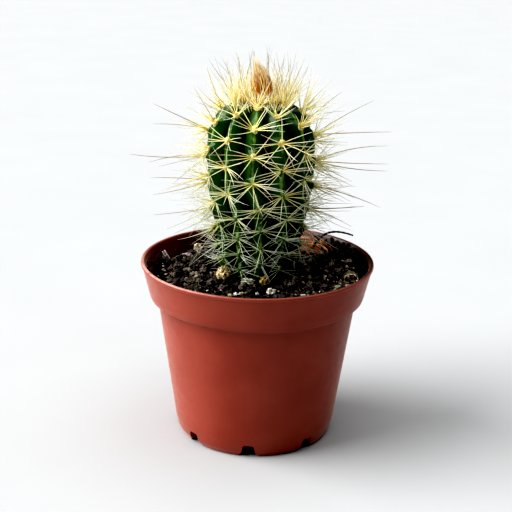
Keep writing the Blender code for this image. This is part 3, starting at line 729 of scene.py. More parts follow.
@dataclass
class NurseryPot:
    """The round plastic pot: one moulding with a collar, a bead on its lip and eight notches."""

    rim_radius: float = 42.5
    height: float = 66.0
    bead: float = 0.9
    bead_proud: float = 0.5
    wall: float = 1.2
    collar_foot: Pair = (39.1, 53.0)
    collar_step: Pair = (39.95, 56.4)
    body_top: Pair = (36.2, 50.8)
    body_foot: Pair = (30.7, 12.0)
    foot_radius: float = 27.6
    foot_ring: float = 1.2
    underside: float = 3.0
    floor: float = 4.2
    notches: int = 8
    notch_azimuth: float = -4.0
    notch_height: float = 4.9
    notch_top_half: float = 1.9
    notch_foot_half: float = 4.0
    columns: int = 240
    sharp_edge: float = 38.0
    finish: MouldedPolypropylene = field(default_factory=MouldedPolypropylene)

    def inner_wall(self) -> list[Pair]:
        """(radius, height) points of the inner wall, from the floor up."""
        return [(self.foot_radius - self.foot_ring, self.floor),
                (self.body_foot[0] - self.wall, self.body_foot[1]),
                (self.body_top[0] - self.wall, self.body_top[1]),
                (self.collar_foot[0] - self.wall, self.collar_foot[1] + 1.6),
                (self.rim_radius - self.bead_proud - self.wall, self.height - self.bead)]

    def inner_radius(self, height: float) -> float:
        """Radius of the inner wall at a height."""
        radii, heights = zip(*self.inner_wall())
        return float(np.interp(height, heights, radii))

    def outline(self) -> list[Pair]:
        """The turned outline, from the middle of the inner floor over the lip to the underside."""
        top, lip = self.height, self.rim_radius
        step_radius, step_height = self.collar_step
        ring = self.foot_radius - self.foot_ring
        inner = [(*spot, rounding) for spot, rounding in zip(self.inner_wall(),
                                                             (2.0, 6.0, 0.8, 1.2, 0.6))]
        corners = [(0.0, self.floor, 0.0), *inner,
                   (lip - 1.15, top, 0.45), (lip - 0.15, top, 0.4), (lip, top - 0.45, 0.4),
                   (lip - 0.05, top - 1.0, 0.2),
                   (lip - self.bead_proud, top - 1.5 * self.bead, 0.15),
                   (step_radius + 0.12, step_height + 0.3, 0.3),
                   (step_radius + 0.02, step_height - 0.1, 0.3),
                   (step_radius - 0.25, step_height - 1.4, 1.2),
                   (*self.collar_foot, 0.06),
                   (self.body_top[0] + 0.95, self.collar_foot[1] - 0.25, 0.3),
                   (self.body_top[0] + 0.1, self.body_top[1] + 0.3, 1.2), (*self.body_foot, 9.0),
                   (self.body_foot[0] - 0.7, 6.5, 6.0), (self.foot_radius + 1.5, 2.4, 3.0),
                   (self.foot_radius, 0.0, 0.9), (ring, 0.0, 0.4),
                   (ring, self.underside, 0.5), (0.0, self.underside, 0.0)]
        return filleted(corners)

    def notch_cutter(self) -> bpy.types.Object:
        """A solid of eight round-shouldered prisms, set round the foot, that the notches are cut
        with.
        """
        half = filleted([(self.notch_foot_half + 0.3, -1.0, 0.0),
                         (self.notch_foot_half - 0.4, 0.35, 0.8),
                         (self.notch_top_half + 0.55, 1.6, 1.2),
                         (self.notch_top_half, self.notch_height, 1.1),
                         (0.0, self.notch_height, 0.0)], 6)
        outline = half + [(-x, z) for x, z in reversed(half[:-1])]
        depths = (self.foot_radius - self.foot_ring - 3.0, self.body_foot[0] + 2.0)
        shell = bmesh.new()
        for index in range(self.notches):
            azimuth = math.radians(self.notch_azimuth + 360 / self.notches * index)
            turn = Matrix.Rotation(azimuth, 4, "Z")
            near, far = ([shell.verts.new(turn @ Vector((x, -depth, z)) * MM) for x, z in outline]
                         for depth in depths)
            shell.faces.new(near[::-1])
            shell.faces.new(far)
            for corners in zip(near, near[1:] + near[:1], far[1:] + far[:1], far):
                shell.faces.new(corners)
        bmesh.ops.recalc_face_normals(shell, faces=shell.faces)
        mesh = bpy.data.meshes.new("notch_cutter")
        shell.to_mesh(mesh)
        shell.free()
        cutter = bpy.data.objects.new("notch_cutter", mesh)
        bpy.context.scene.collection.objects.link(cutter)
        return cutter

    def build(self) -> None:
        """Turn the pot, cut its notches and dress it."""
        outline = self.outline()
        rings = [level_ring(radius, height, self.columns) for radius, height in outline[1:-1]]
        shell = Shell().wrap(rings, (0.0, 0.0, outline[0][1]), (0.0, 0.0, outline[-1][1]),
                             linear(self.finish.pigment))
        pot = shell.piece("moulded_pot", self.finish.material(), "terracotta_plastic", "pot")
        cutter = self.notch_cutter()
        cut = pot.modifiers.new("notches", "BOOLEAN")
        cut.operation = "DIFFERENCE"
        cut.object = cutter
        bpy.context.view_layer.update()
        carved = bpy.data.meshes.new_from_object(
            pot.evaluated_get(bpy.context.evaluated_depsgraph_get()))
        pot.modifiers.remove(cut)
        pot.data = carved
        carved.shade_smooth()
        carved.set_sharp_from_angle(angle=math.radians(self.sharp_edge))
        bpy.data.objects.remove(cutter)


class Form(Enum):
    """What a loose piece on the soil is, which settles how its lump is worked."""

    HUSK = "withered flower"
    FLAKE = "flat flake"
    GRAIN = "crushed grain"
    PEBBLE = "worn pebble"
    BARK = "bark splinter"


@dataclass(frozen=True)
class LooseBit:
    """A loose piece: where it lies, its half sizes, its turn and tilt in degrees, what it is.

    A withered flower also has dry scales that stand up from it, and a split flake lies in
    several strips.
    """

    node: str
    place: Pair
    half: Triple
    turn: float
    form: Form
    slot: str
    pale: str
    dark: str
    tilt: float = 0.0
    scales: int = 0
    strips: int = 1


LOOSE_BITS = (
    LooseBit("dry_husk", (-12.0, -13.0), (2.0, 1.7, 2.7), 20, Form.HUSK, "dry_husk", "F6E8BC",
             "6A5030", scales=30),
    LooseBit("pale_flake", (-3.0, -17.6), (2.9, 1.2, 1.2), -8, Form.FLAKE, "pale_grit", "C8CAB8",
             "55564A"),
    LooseBit("yellow_bract", (2.6, -17.6), (1.5, 1.1, 1.6), 30, Form.HUSK, "dry_husk", "D2BC74",
             "644420", scales=14),
    LooseBit("white_grain_1", (5.0, -23.6), (1.7, 1.1, 1.0), 12, Form.GRAIN, "white_grit",
             "E6E2D8", "8C8478", 14.0, strips=2),
    LooseBit("white_grain_2", (-35.0, 17.0), (1.35, 0.8, 2.1), 8, Form.FLAKE, "white_grit",
             "FFFFFF", "F2EEEA", -28.0, strips=3),
    LooseBit("tan_pebble", (-22.9, 22.8), (2.0, 1.9, 2.3), 0, Form.GRAIN, "tan_grit", "E6DAC2",
             "5E5138"),
    LooseBit("pink_pebble", (-27.0, 18.2), (1.7, 1.3, 1.2), 15, Form.PEBBLE, "tan_grit", "DCCBD0",
             "7A6468"),
    LooseBit("grey_pebble", (-21.5, -12.0), (2.0, 1.7, 1.3), 35, Form.GRAIN, "pale_grit",
             "8F877A", "2C2620"),
    LooseBit("green_grain", (28.9, -15.0), (1.4, 1.1, 1.0), 0, Form.GRAIN, "pale_grit", "C6CDB2",
             "66705A"),
    LooseBit("bark_chip", (14.4, 27.4), (4.6, 2.8, 2.6), 25, Form.BARK, "bark", "C4602F",
             "4A1C0C"),
)


class Tone(Enum):
    """What a lump laid on the soil is made of, with its colour as it lies there."""

    DRY_PEAT = "847B72"
    PEAT = "655E58"
    DAMP_PEAT = "4C4545"
    BARK = "9A5E3A"
    CLAY = "9C9276"
    ROSE_CLAY = "D6B6AE"
    PUMICE = "E2DCD6"
    QUARTZ = "FAF9F7"


LaidLumps = tuple[tuple[Tone, tuple[Triple, ...]], ...]


@dataclass
class PottingSoil:
    """The soil plug with its crumbs, grit and fibres, and the loose pieces on it.

    A laid lump is its x, its y and its radius. A clinging band is how many crumbs hang on the wall,
    between which two turns, how high they climb, and the colour blended over them, which paints
    shade: dark on the right in the stem's shadow, lighter on the left against the wall's shade.
    """

    pot: NurseryPot
    edge_level: float = 58.6
    stem_level: float = 62.8
    mound_power: float = 1.3
    lump: float = 1.3
    lump_size: float = 4.6
    hole_radius: float = 14.3
    hole_floor: float = 50.0
    wall_levels: Triple = (53.8, 50.8, 12.0)
    gap: float = 0.3
    seat_margin: float = 2.6
    seat_blend: float = 2.0
    columns: int = 300
    rings: int = 64
    bed_colour: str = "1A120D"
    peat_shades: tuple[str, ...] = (
        "3A3132", "4C4342", "2D2627", "6A5F5B", "433A3A", "867B72", "342C2D", "5A514F")
    earthy_grit: tuple[str, ...] = (
        "5E5548", "8C8270", "4C4034", "A89E8A", "3C332B", "7A6A52", "6A5A5A")
    pale_grit: tuple[str, ...] = ("E6E1D6", "CFC7B6", "F4F2EC", "D9C8CC", "C9B2B4", "B8B0A2")
    litter_shades: tuple[str, ...] = ("B08A4C", "D0AE6C", "7A6240", "F0E6CC", "8E7650")
    coir_shades: tuple[str, ...] = ("8C7F66", "B8AB8C", "5E5040", "3B3026", "A68F62")
    bark_shades: tuple[str, ...] = ("DC9674", "BA7650", "EAC09C", "A06A46", "CCA880")
    large_clods: LaidLumps = (
        (Tone.DRY_PEAT, ((-25.3, -1.6, 1.5), (-22.3, -8.4, 1.6), (-24.4, -13.2, 1.3),
                         (-19.6, -5.0, 1.2), (-26.8, 12.5, 1.5), (-30.2, -4.1, 1.1),
                         (34.8, 14.0, 1.5))),
        (Tone.PEAT, ((-20.4, -14.9, 1.6), (-33.2, 13.2, 1.4), (-29.5, 4.8, 1.5),
                     (-16.6, -16.9, 1.4), (-36.4, -7.6, 1.3), (18.9, -15.4, 1.5),
                     (-5.5, -22.6, 1.3), (12.0, -18.9, 1.3), (-12.0, -20.2, 1.3),
                     (-31.6, 13.8, 1.4), (30.6, 5.2, 1.6), (24.2, -14.6, 1.3))),
        (Tone.DAMP_PEAT, ((23.0, 9.0, 1.5), (28.0, 4.0, 1.4), (25.6, 17.0, 1.5),
                          (-34.6, 13.6, 1.7), (31.8, 10.6, 1.5), (20.4, 1.6, 1.4),
                          (27.4, -1.8, 1.4), (21.0, -9.6, 1.5))),
        (Tone.BARK, ((17.8, 28.2, 1.4), (19.8, 24.8, 1.3), (15.4, 23.6, 1.2), (21.8, 28.4, 1.2),
                     (15.6, 30.4, 1.5), (18.6, 31.6, 1.5), (21.2, 30.6, 1.3), (13.8, 27.0, 1.4),
                     (23.4, 26.2, 1.1), (16.8, 26.0, 1.2))))
    laid_grains: LaidLumps = (
        (Tone.QUARTZ, ((-35.2, 7.6, 0.55), (-17.4, -20.8, 0.5), (-16.8, -6.6, 0.5),
                       (5.3, -24.4, 0.6), (4.9, -20.7, 0.8), (24.7, -6.3, 0.9), (26.7, -5.4, 0.8),
                       (27.5, -9.0, 0.7), (25.6, -8.0, 0.5), (11.3, -19.0, 0.6))),
        (Tone.PUMICE, ((-35.6, 11.4, 0.6), (-34.9, 4.6, 0.6), (-34.3, 1.6, 0.65), (0.1, -25.0, 0.9),
                       (9.5, -19.6, 0.8), (-7.3, -24.8, 1.1), (16.1, -24.0, 1.2), (23.6, -8.6, 0.5),
                       (28.6, -6.6, 0.5), (35.6, 3.2, 0.8), (36.6, 1.4, 0.7), (-27.6, 0.8, 0.5),
                       (-20.6, -9.8, 0.5))),
        (Tone.ROSE_CLAY, ((-33.1, -4.4, 0.8), (-38.5, 10.9, 0.9), (17.8, -23.2, 0.9),
                          (36.2, 11.2, 0.6), (-12.6, -21.8, 0.7))),
        (Tone.CLAY, ((-9.2, -25.0, 1.3), (-5.5, -25.4, 1.2), (-3.8, -24.8, 1.1),
                     (-23.8, -5.6, 0.6), (7.6, -22.4, 0.6), (13.6, -24.6, 0.7))))
    clinging: tuple[tuple[int, float, float, float, str], ...] = (
        (420, -25.0, 58.0, 6.0, "1C0A0C"), (260, 8.0, 46.0, 6.6, "1C0A0C"),
        (90, 158.0, 206.0, 5.5, "8A4638"))
    wall_specks: int = 190
    laid_lift: float = 0.35
    dark_spot: Pair = (-2.0, -23.0)
    dark_reach: Pair = (6.0, 15.0)
    # How far the crumbs on the shaded right are brightened, as painted fill light.
    painted_fill_side: Pair = (8.0, 24.0)
    painted_fill_gain: float = 2.1
    curl_place: Pair = (33.8, -4.4)
    curl_radius: float = 3.0
    curl_width: float = 4.2
    curl_turns: Pair = (-20.0, 330.0)
    curl_close: float = 0.5
    curl_squash: float = 0.86
    curl_litter: int = 80
    curl_bead: float = 0.24
    curl_steps: tuple[int, int] = (120, 20)
    curl_colour: str = "A89B72"
    curl_edge: str = "ECE6D2"
    fibres: int = 80
    fibre_ring: Pair = (15.0, 37.0)
    fibre_limits: Pair = (14.5, 37.5)
    fibre_length: Pair = (2.0, 6.0)
    bark_fibres: int = 150
    bark_spread: Triple = (18.4, 28.2, 4.0)
    bark_reach: float = 38.5
    underside: float = 0.6
    root_colour: str = "1F1712"
    root_radius: float = 0.52
    root_sides: int = 9
    root_route: tuple[Triple, ...] = (
        (20.6, 24.6, 60.6), (21.6, 24.4, 63.6), (23.4, 24.2, 66.6), (26.2, 24.0, 68.8),
        (29.4, 23.4, 69.8), (33.0, 22.4, 69.8), (36.4, 21.4, 69.1))

    def __post_init__(self) -> None:
        """List the (x, y, radius) of the flat spots under the loose pieces and the leaf."""
        self.seats = [(*bit.place, max(bit.half[:2]) + self.seat_margin) for bit in LOOSE_BITS]
        self.seats.append((*self.curl_place, self.curl_width / 2 + self.seat_margin))

    def mound_level(self, x: float, y: float) -> float:
        """Height of the mound without its lumps, and of the flat spot under a piece there."""
        rise = 1 - share_between(math.hypot(x, y), self.hole_radius, self.pot.rim_radius)
        return self.edge_level + (self.stem_level - self.edge_level) * rise ** self.mound_power

    def level(self, x: float, y: float) -> float:
        """Height of the soil's top: a low mound with lumps, flatter where a piece lies."""
        spot = Vector((x, y, 0.0)) / self.lump_size
        height = self.mound_level(x, y)
        height += self.lump * (noise.noise(spot) + 0.5 * noise.noise(spot * 2.3))
        for seat_x, seat_y, reach in self.seats:
            away = math.hypot(x - seat_x, y - seat_y)
            if away < reach + self.seat_blend:
                seat = self.mound_level(seat_x, seat_y)
                lift = share_between(away, reach, reach + self.seat_blend)
                height = seat + (min(height, seat) - seat) * lift
        return height

    def on_wall(self, turn: float, height: float, sunk: float) -> Triple:
        """A place on the pot's inner wall, this far in front of it."""
        reach = self.pot.inner_radius(height) - sunk
        return reach * math.cos(turn), reach * math.sin(turn), height

    def build_bed(self) -> None:
        """The plug: a crumbled top between the stem's hole and the pot's wall."""
        edge = self.pot.inner_radius(self.edge_level) - self.gap
        radii = [self.hole_radius + (edge - self.hole_radius) * i / self.rings
                 for i in range(self.rings + 1)]
        foot = self.pot.floor + self.gap
        rows = [level_ring(radius, 0.0, self.columns) for radius in radii]
        for ring in rows:
            ring[:, 2] = [self.level(x, y) for x, y, _z in ring]
            ring[:, 2] += 0.45 * lumps(ring, 1.5, 3) + 0.2 * lumps(ring, 0.5, 2)
        rows.insert(0, level_ring(self.hole_radius, self.hole_floor, self.columns))
        rows += [level_ring(self.pot.inner_radius(z) - self.gap, z, self.columns)
                 for z in self.wall_levels]
        rows.append(level_ring(self.pot.foot_radius - self.pot.foot_ring - self.gap, foot,
                               self.columns))
        shell = Shell().wrap(rows, (0, 0, self.hole_floor), (0, 0, foot), linear(self.bed_colour))
        shell.piece("soil_bed", DampPeat().material(), "peat_and_grit", "soil")

    def scatter(self, shell: Shell, templates: list[Template], count: int, sizes: Pair,
                colours: tuple[str, ...], seed: int, sink: float = 0.35) -> None:
        """Strew lumps over the soil.

        Args:
            shell: the shell that they join.
            templates: the shapes to choose from.
            count: how many to strew.
            sizes: the smallest and the largest radius.
            colours: their colours, as sRGB hex, one drawn for each lump.
            seed: the seed of the random draws.
            sink: how deep a lump sits in the soil, as a share of its radius.
        """
        chance = random.Random(seed)
        outer = self.pot.inner_radius(self.edge_level) - 0.8
        inner = self.hole_radius - 1.6
        for _lump in range(count):
            size = sizes[0] + (sizes[1] - sizes[0]) * chance.random() ** 2.2
            radius = math.sqrt(chance.uniform(inner ** 2, (outer - size) ** 2))
            turn = chance.uniform(0.0, FULL_TURN)
            x, y = radius * math.cos(turn), radius * math.sin(turn)
            template = chance.choice(templates)
            stretch = np.array([chance.uniform(0.75, 1.25), chance.uniform(0.75, 1.25),
                                chance.uniform(0.6, 1.0)]) * size
            axis = Vector([chance.gauss(0, 1) for _axis in range(3)])
            spin = np.array(Matrix.Rotation(chance.uniform(0.0, 6.28), 3, axis.normalized()))
            shade = linear(chance.choice(colours))
            # Crumbs are darker near a spot at the front.
            damp = math.hypot(x - self.dark_spot[0], (y - self.dark_spot[1]) * 1.6)
            light = (0.16 + 0.98 * chance.random() ** 2) * (
                0.45 + 0.55 * share_between(damp, *self.dark_reach))
            # Painted fill light: crumbs on the right, where the stem's shadow falls, are made
            # brighter.
            light *= 1 + self.painted_fill_gain * share_between(x, *self.painted_fill_side)
            place = (x, y, self.level(x, y) + size * (0.5 - sink))
            shell.stamp(template, stretch, place, lit(shade, light), spin.T)

    def lay(self, shell: Shell, templates: list[Template], laid: LaidLumps) -> None:
        """Lay lumps at their places on the soil; the place settles which shape is taken."""
        for tone, spots in laid:
            for x, y, size in spots:
                template = templates[int(abs(x * 7 + y * 3)) % len(templates)]
                centre = (x, y, self.level(x, y) + size * 0.5 + self.laid_lift)
                shell.stamp(template, (size, size * 0.8, size * 0.75), centre, linear(tone.value))

    def build_peat(self) -> None:
        """Peat clods and crumbs, and the crumbs that cling to the pot's wall."""
        clods, small, tiny = ([clod_template(seed, fineness) for seed in seeds]
                              for seeds, fineness in ((range(10), 3), (range(20, 30), 2),
                                                      (range(30, 40), 1)))
        finish = CrushedGrain("peat_crumb", 0.5, 0.92).material()
        peat = Shell()
        self.scatter(peat, clods, count=340, sizes=(0.8, 1.9), colours=self.peat_shades, seed=1)
        self.lay(peat, clods, self.large_clods)
        peat.piece("peat_clods", finish, "peat_and_grit", sharp=35)
        peat = Shell()
        self.scatter(peat, small, count=1500, sizes=(0.35, 1.0), colours=self.peat_shades, seed=2,
                     sink=0.15)
        self.scatter(peat, tiny, count=1900, sizes=(0.2, 0.5), colours=self.peat_shades, seed=7,
                     sink=0.1)
        chance = random.Random(9)
        for count, first, last, climb, shade_film in self.clinging:
            for _crumb in range(count):
                height = self.edge_level + 0.2 + climb * chance.random() ** (7.5 / climb)
                turn = math.radians(chance.uniform(first, last))
                size = chance.uniform(0.25, 0.75) * min(climb / 6.0, 1.0)
                template = chance.choice(tiny)
                # The band's colour paints shade: dark where the stem's shadow falls on the right
                # wall, lighter to lift the shaded left wall.
                shade = blend(linear(chance.choice(self.peat_shades)), linear(shade_film), 0.5)
                peat.stamp(template, size, self.on_wall(turn, height, size * 0.3), shade)
        peat.piece("peat_crumbs", finish, "peat_and_grit", sharp=35)

    def build_grit(self) -> None:
        """Dark and pale grit, specks of it on the wall, and the litter under the curled leaf."""
        shards = [shard_template(seed, 15) for seed in range(40, 54)]
        grit = Shell()
        self.scatter(grit, shards, count=650, sizes=(0.3, 1.15), colours=self.earthy_grit, seed=3,
                     sink=0.1)
        self.scatter(grit, shards, count=520, sizes=(0.16, 0.6), colours=self.pale_grit, seed=4,
                     sink=-0.1)
        self.lay(grit, shards, self.laid_grains)
        chance = random.Random(6)
        for _speck in range(self.wall_specks):
            height = self.edge_level + 0.4 + 4.2 * chance.random() ** 2
            turn = chance.uniform(0.0, FULL_TURN)
            size = chance.uniform(0.14, 0.34)
            shade = linear(chance.choice(self.earthy_grit + self.pale_grit[2:5]))
            place = self.on_wall(turn, height, size * 0.6)
            grit.stamp(chance.choice(shards), size, place, shade)
        for _crumb in range(self.curl_litter):
            size = chance.uniform(0.2, 0.6)
            x = self.curl_place[0] + chance.uniform(-0.9, 0.9) * self.curl_radius
            y = self.curl_place[1] - self.curl_width * chance.uniform(0.2, 0.62)
            bulge = 1 - (abs(x - self.curl_place[0]) / self.curl_radius) ** 2
            height = self.level(x, y) + bulge * chance.uniform(0.1, 1.0) * self.curl_radius * 1.1
            grit.stamp(chance.choice(shards), size, (x, y, height),
                       linear(chance.choice(self.litter_shades)))
        grit.piece("pumice_granules", CrushedGrain("pumice", 0.5, 0.8).material(), "pale_grit",
                   sharp=20)

    def coir(self) -> list[Spine]:
        """Short curved coir and root fibres that lie over the crumbs."""
        chance = random.Random(8)
        fibres = []
        for _fibre in range(self.fibres):
            radius = math.sqrt(chance.uniform(*(reach ** 2 for reach in self.fibre_ring)))
            turn = chance.uniform(0, FULL_TURN)
            heading = chance.uniform(0, FULL_TURN)
            length = chance.uniform(*self.fibre_length)
            start = np.array([radius * math.cos(turn), radius * math.sin(turn), 0.0])
            end = start + length * np.array([math.cos(heading), math.sin(heading), 0.0])
            if not self.fibre_limits[0] <= math.hypot(*end[:2]) <= self.fibre_limits[1]:
                continue
            for spot in (start, end):
                spot[2] = self.level(spot[0], spot[1]) + chance.uniform(0.4, 1.0)
            bow = np.array([chance.uniform(-1.2, 1.2), chance.uniform(-1.2, 1.2),
                            chance.uniform(0.3, 0.9)])
            shade = linear(chance.choice(self.coir_shades))
            fibres.append(Spine(start, end, bow, chance.uniform(0.05, 0.12), (shade,) * 3))
        return fibres + self.bark_tangle(chance)

    def bark_tangle(self, chance: random.Random) -> list[Spine]:
        """Rusty bark fibres that stand in a tangle behind the stem at the right."""
        tangle = []
        for _fibre in range(self.bark_fibres):
            x, y = (value + chance.gauss(0, self.bark_spread[2]) for value in self.bark_spread[:2])
            y = min(y, math.sqrt(max(self.bark_reach ** 2 - x * x, 0)))
            low = self.level(x, y) + chance.uniform(0.2, 3.8)
            heading = chance.gauss(2.6, 0.5)
            way = np.array([math.cos(heading), 0.3 * chance.gauss(0, 1), 0.45 * math.sin(heading)])
            start = np.array([x, y, low]) - way * chance.uniform(1.0, 2.6)
            end = 2 * np.array([x, y, low + 0.6]) - start
            for spot in (start, end):
                spot[2] = max(spot[2], self.level(spot[0], spot[1]) + 0.2)
            tangle.append(Spine(start, end, np.array([0.0, 0.0, chance.uniform(0.1, 0.6)]),
                                chance.uniform(0.12, 0.26),
                                (linear(chance.choice(self.bark_shades)),) * 3))
        return tangle

    def worked(self, bit: LooseBit) -> np.ndarray:
        """The points of a loose piece's ball, worked into its form.

        Args:
            bit: the loose piece.

        Returns:
            Its points before they are scaled to its half sizes.
        """
        points = lump_template(len(bit.node), 5, 0.2)[0]
        seed = float(len(bit.node))
        radius = np.linalg.norm(points, axis=1)
        if bit.form is Form.HUSK:
            turn = np.arctan2(points[:, 1], points[:, 0])
            pleat = 1 + 0.16 * np.cos(7 * turn + 2.5 * points[:, 2]) * (1 - points[:, 2] ** 2)
            points[:, :2] *= pleat[:, None]
            points[:, 2] += 0.22 * np.cos(5 * turn) * np.clip(points[:, 2], 0, 1)
            crumple = 0.16 * lumps(points, 0.4, 3, seed)
        elif bit.form is Form.PEBBLE:
            crumple = 0.12 * lumps(points, 0.5, 4, seed)
        else:
            for k in range(1, 12):
                facet = Vector((math.sin(k * 2.4), math.cos(k * 1.7), math.sin(k * 3.1)))
                way = np.array(facet.normalized())
                limit = 0.62 + 0.12 * math.sin((k - 1) * 5.1)
                points -= np.clip(points @ way - limit, 0, None)[:, None] * way
            points *= 1.35 if bit.form is Form.BARK else 1.15
            crumple = 0.12 * lumps(points, 0.35, 4, seed)
            if bit.form is Form.BARK:
                crumple += 0.06 * np.sin(points[:, 2] * 24 + 3 * points[:, 0])
            if bit.form is Form.FLAKE:
                crumple += 0.1 * np.cos(points[:, 2] * 11 + points[:, 1] * 5)
        return points * (1 + crumple / np.clip(radius, 0.3, None))[:, None]

    def add_scales(self, shell: Shell, bit: LooseBit, centre: np.ndarray) -> None:
        """Stand dry pointed scales on the upper half of a withered flower."""
        chance = random.Random(bit.scales)
        for index in range(bit.scales):
            turn = index * GOLDEN_ANGLE
            lift = math.radians(15 + 70 * (index + 0.5) / bit.scales)
            way = np.array([math.cos(turn) * math.cos(lift), math.sin(turn) * math.cos(lift),
                            math.sin(lift)])
            root = centre + way * np.array(bit.half) * 0.72
            tip = root + way * bit.half[0] * chance.uniform(0.45, 0.8) + (0.0, 0.0, 0.25)
            bow = np.array([-way[1], way[0], 0.0]) * chance.uniform(-0.25, 0.25)
            width = bit.half[0] * chance.uniform(0.13, 0.2)
            scale = spine_shell([Spine(root, tip, bow, width, (linear(bit.pale),) * 3)], 6, 5)
            shell.add(scale.points[0], scale.faces, scale.tints[0])

    def build_loose_bits(self) -> None:
        """The withered flower, the flake, the grains, the pebbles and the bark splinter."""
        ball, (triangles,) = lump_template(0, 5, 0.0)
        for bit in LOOSE_BITS:
            tilt = math.radians(bit.tilt)
            slim = np.array((1.15 * bit.half[0] / bit.strips, *bit.half[1:]))
            strips = [self.worked(bit) * slim + (part * bit.half[0], 0.0, 0.0)
                      for part in np.linspace(1 / bit.strips - 1, 1 - 1 / bit.strips, bit.strips)]
            points = np.concatenate(strips) @ np.array(Matrix.Rotation(tilt, 3, "Y")).T
            below = max(bit.half[2], bit.half[0] * math.sin(tilt))
            points[:, 2] = np.maximum(points[:, 2], -self.underside * below)
            spin = np.array(Matrix.Rotation(math.radians(bit.turn), 3, "Z"))
            rest = (*bit.place, self.mound_level(*bit.place) + self.gap + self.underside * below)
            shell = Shell().add(points @ spin.T + rest,
                                [triangles + len(ball) * strip for strip in range(bit.strips)],
                                linear(bit.pale))
            self.add_scales(shell, bit, np.array(rest))
            relief = 0.25 if bit.form is Form.HUSK else 0.12
            grain = (1.0, 1.0, 5.0) if bit.form is Form.BARK else (1.0, 1.0, 1.0)
            finish = DriedPlant(f"{bit.node}_surface", bit.pale, bit.dark, 0.9, 0.75, grain, relief)
            shell.piece(f"{bit.node}_worked", finish.material(), bit.slot, bit.node, sharp=50)

    def build_curl(self) -> None:
        """The curled dry leaf: a thin strip rolled over itself, ribbed, with a torn edge."""
        level = self.mound_level(*self.curl_place) + self.gap
        first, last = (math.radians(turn) for turn in self.curl_turns)
        rest = level - self.curl_radius * math.sin(first)
        steps, across = self.curl_steps
        outer, inner = [], []
        for step in range(steps + 1):
            share = step / steps
            angle = first + (last - first) * share
            close = 1 - self.curl_close * share ** 1.5
            fade = math.sin(math.pi * share) ** 0.4
            for part in range(across + 1):
                side = 2 * part / across - 1
                rib = 0.1 * math.cos(step * 0.9) * (1 - side ** 2) + 0.08 * math.cos(part * 1.6)
                width = self.curl_width / 2 * (0.7 + 0.3 * fade) * side
                width += 0.3 * math.sin(step * 0.5) + 0.15 * math.sin(step * 1.7)
                for rows, thick in ((outer, 0.0), (inner, 0.14 + 0.12 * fade)):
                    radius = self.curl_radius * close - thick + rib - 0.3 * side ** 2
                    height = max(rest + radius * math.sin(angle) * self.curl_squash, level - 0.1)
                    rows.append((self.curl_place[0] + radius * math.cos(angle),
                                 self.curl_place[1] + width, height))
        front = np.array(outer[::across + 1])
        edge = [Spine(start, end, np.zeros(3), self.curl_bead, (linear(self.curl_edge),) * 3)
                for start, end in zip(front, front[2:]) if start[2] > level + 0.2]
        spine_shell(edge, 6, 3).piece("leaf_edge", LignifiedSpine("dry_rib").material(), "dry_leaf")
        grid = np.arange(len(outer)).reshape(steps + 1, across + 1)
        face = np.stack([grid[:-1, :-1], grid[1:, :-1], grid[1:, 1:], grid[:-1, 1:]], -1)
        face = face.reshape(-1, 4)
        border = np.concatenate([grid[0, :-1], grid[:-1, -1], grid[-1, :0:-1], grid[:0:-1, 0]])
        after = np.roll(border, -1)
        rim = np.stack([border, after, len(outer) + after, len(outer) + border], 1)
        shell = Shell().add(np.array(outer + inner),
                            [face, len(outer) + face[:, [0, 3, 2, 1]], rim],
                            linear(self.curl_colour))
        finish = DriedPlant("dry_leaf_surface", "8E8468", "2E2618", 0.8, 0.6, (6.0, 1.0, 6.0))
        shell.piece("curled_leaf_worked", finish.material(), "dry_leaf", "curled_leaf", sharp=60)

    def build_root(self) -> None:
        """The thin dark root, knobbly and tapering."""
        route = smooth_curve(self.root_route, 9)
        chance = random.Random(4)
        rows = []
        for index, spot in enumerate(route):
            ahead, behind = route[min(index + 1, len(route) - 1)], route[max(index - 1, 0)]
            along = Vector(ahead - behind).normalized()
            side = along.cross(Vector((0.0, 1.0, 0.0))).normalized()
            other = along.cross(side)
            taper = 1.0 - 0.45 * index / len(route)
            radius = self.root_radius * taper * (1 + 0.16 * math.sin(index * 1.3))
            turns = [FULL_TURN * corner / self.root_sides for corner in range(self.root_sides)]
            rows.append(np.array([Vector(spot) + (side * math.cos(turn) + other * math.sin(turn))
                                  * (radius * chance.uniform(0.9, 1.1)) for turn in turns]))
        finish = DriedPlant("root_surface", "221A15", "080504", 0.5, 0.5)
        shell = Shell().wrap(rows, route[0], route[-1], linear(self.root_colour))
        shell.piece("bare_root_worked", finish.material(), "dark_root", "bare_root")

    def build(self) -> None:
        """Fill the pot and lay everything on the soil."""
        self.build_bed()
        self.build_peat()
        self.build_grit()
        fibres = spine_shell(self.coir(), 4, 9)
        fibres.piece("coir_fibres", LignifiedSpine("coir").material(), "bark")
        self.build_loose_bits()
        self.build_curl()
        self.build_root()


@dataclass(frozen=True)
class Areole:
    """A felted cushion on a rib crest that spines grow from, with its own directions."""

    seat: Vector
    outward: Vector
    across: Vector
    up: Vector
    height: float
    azimuth: float


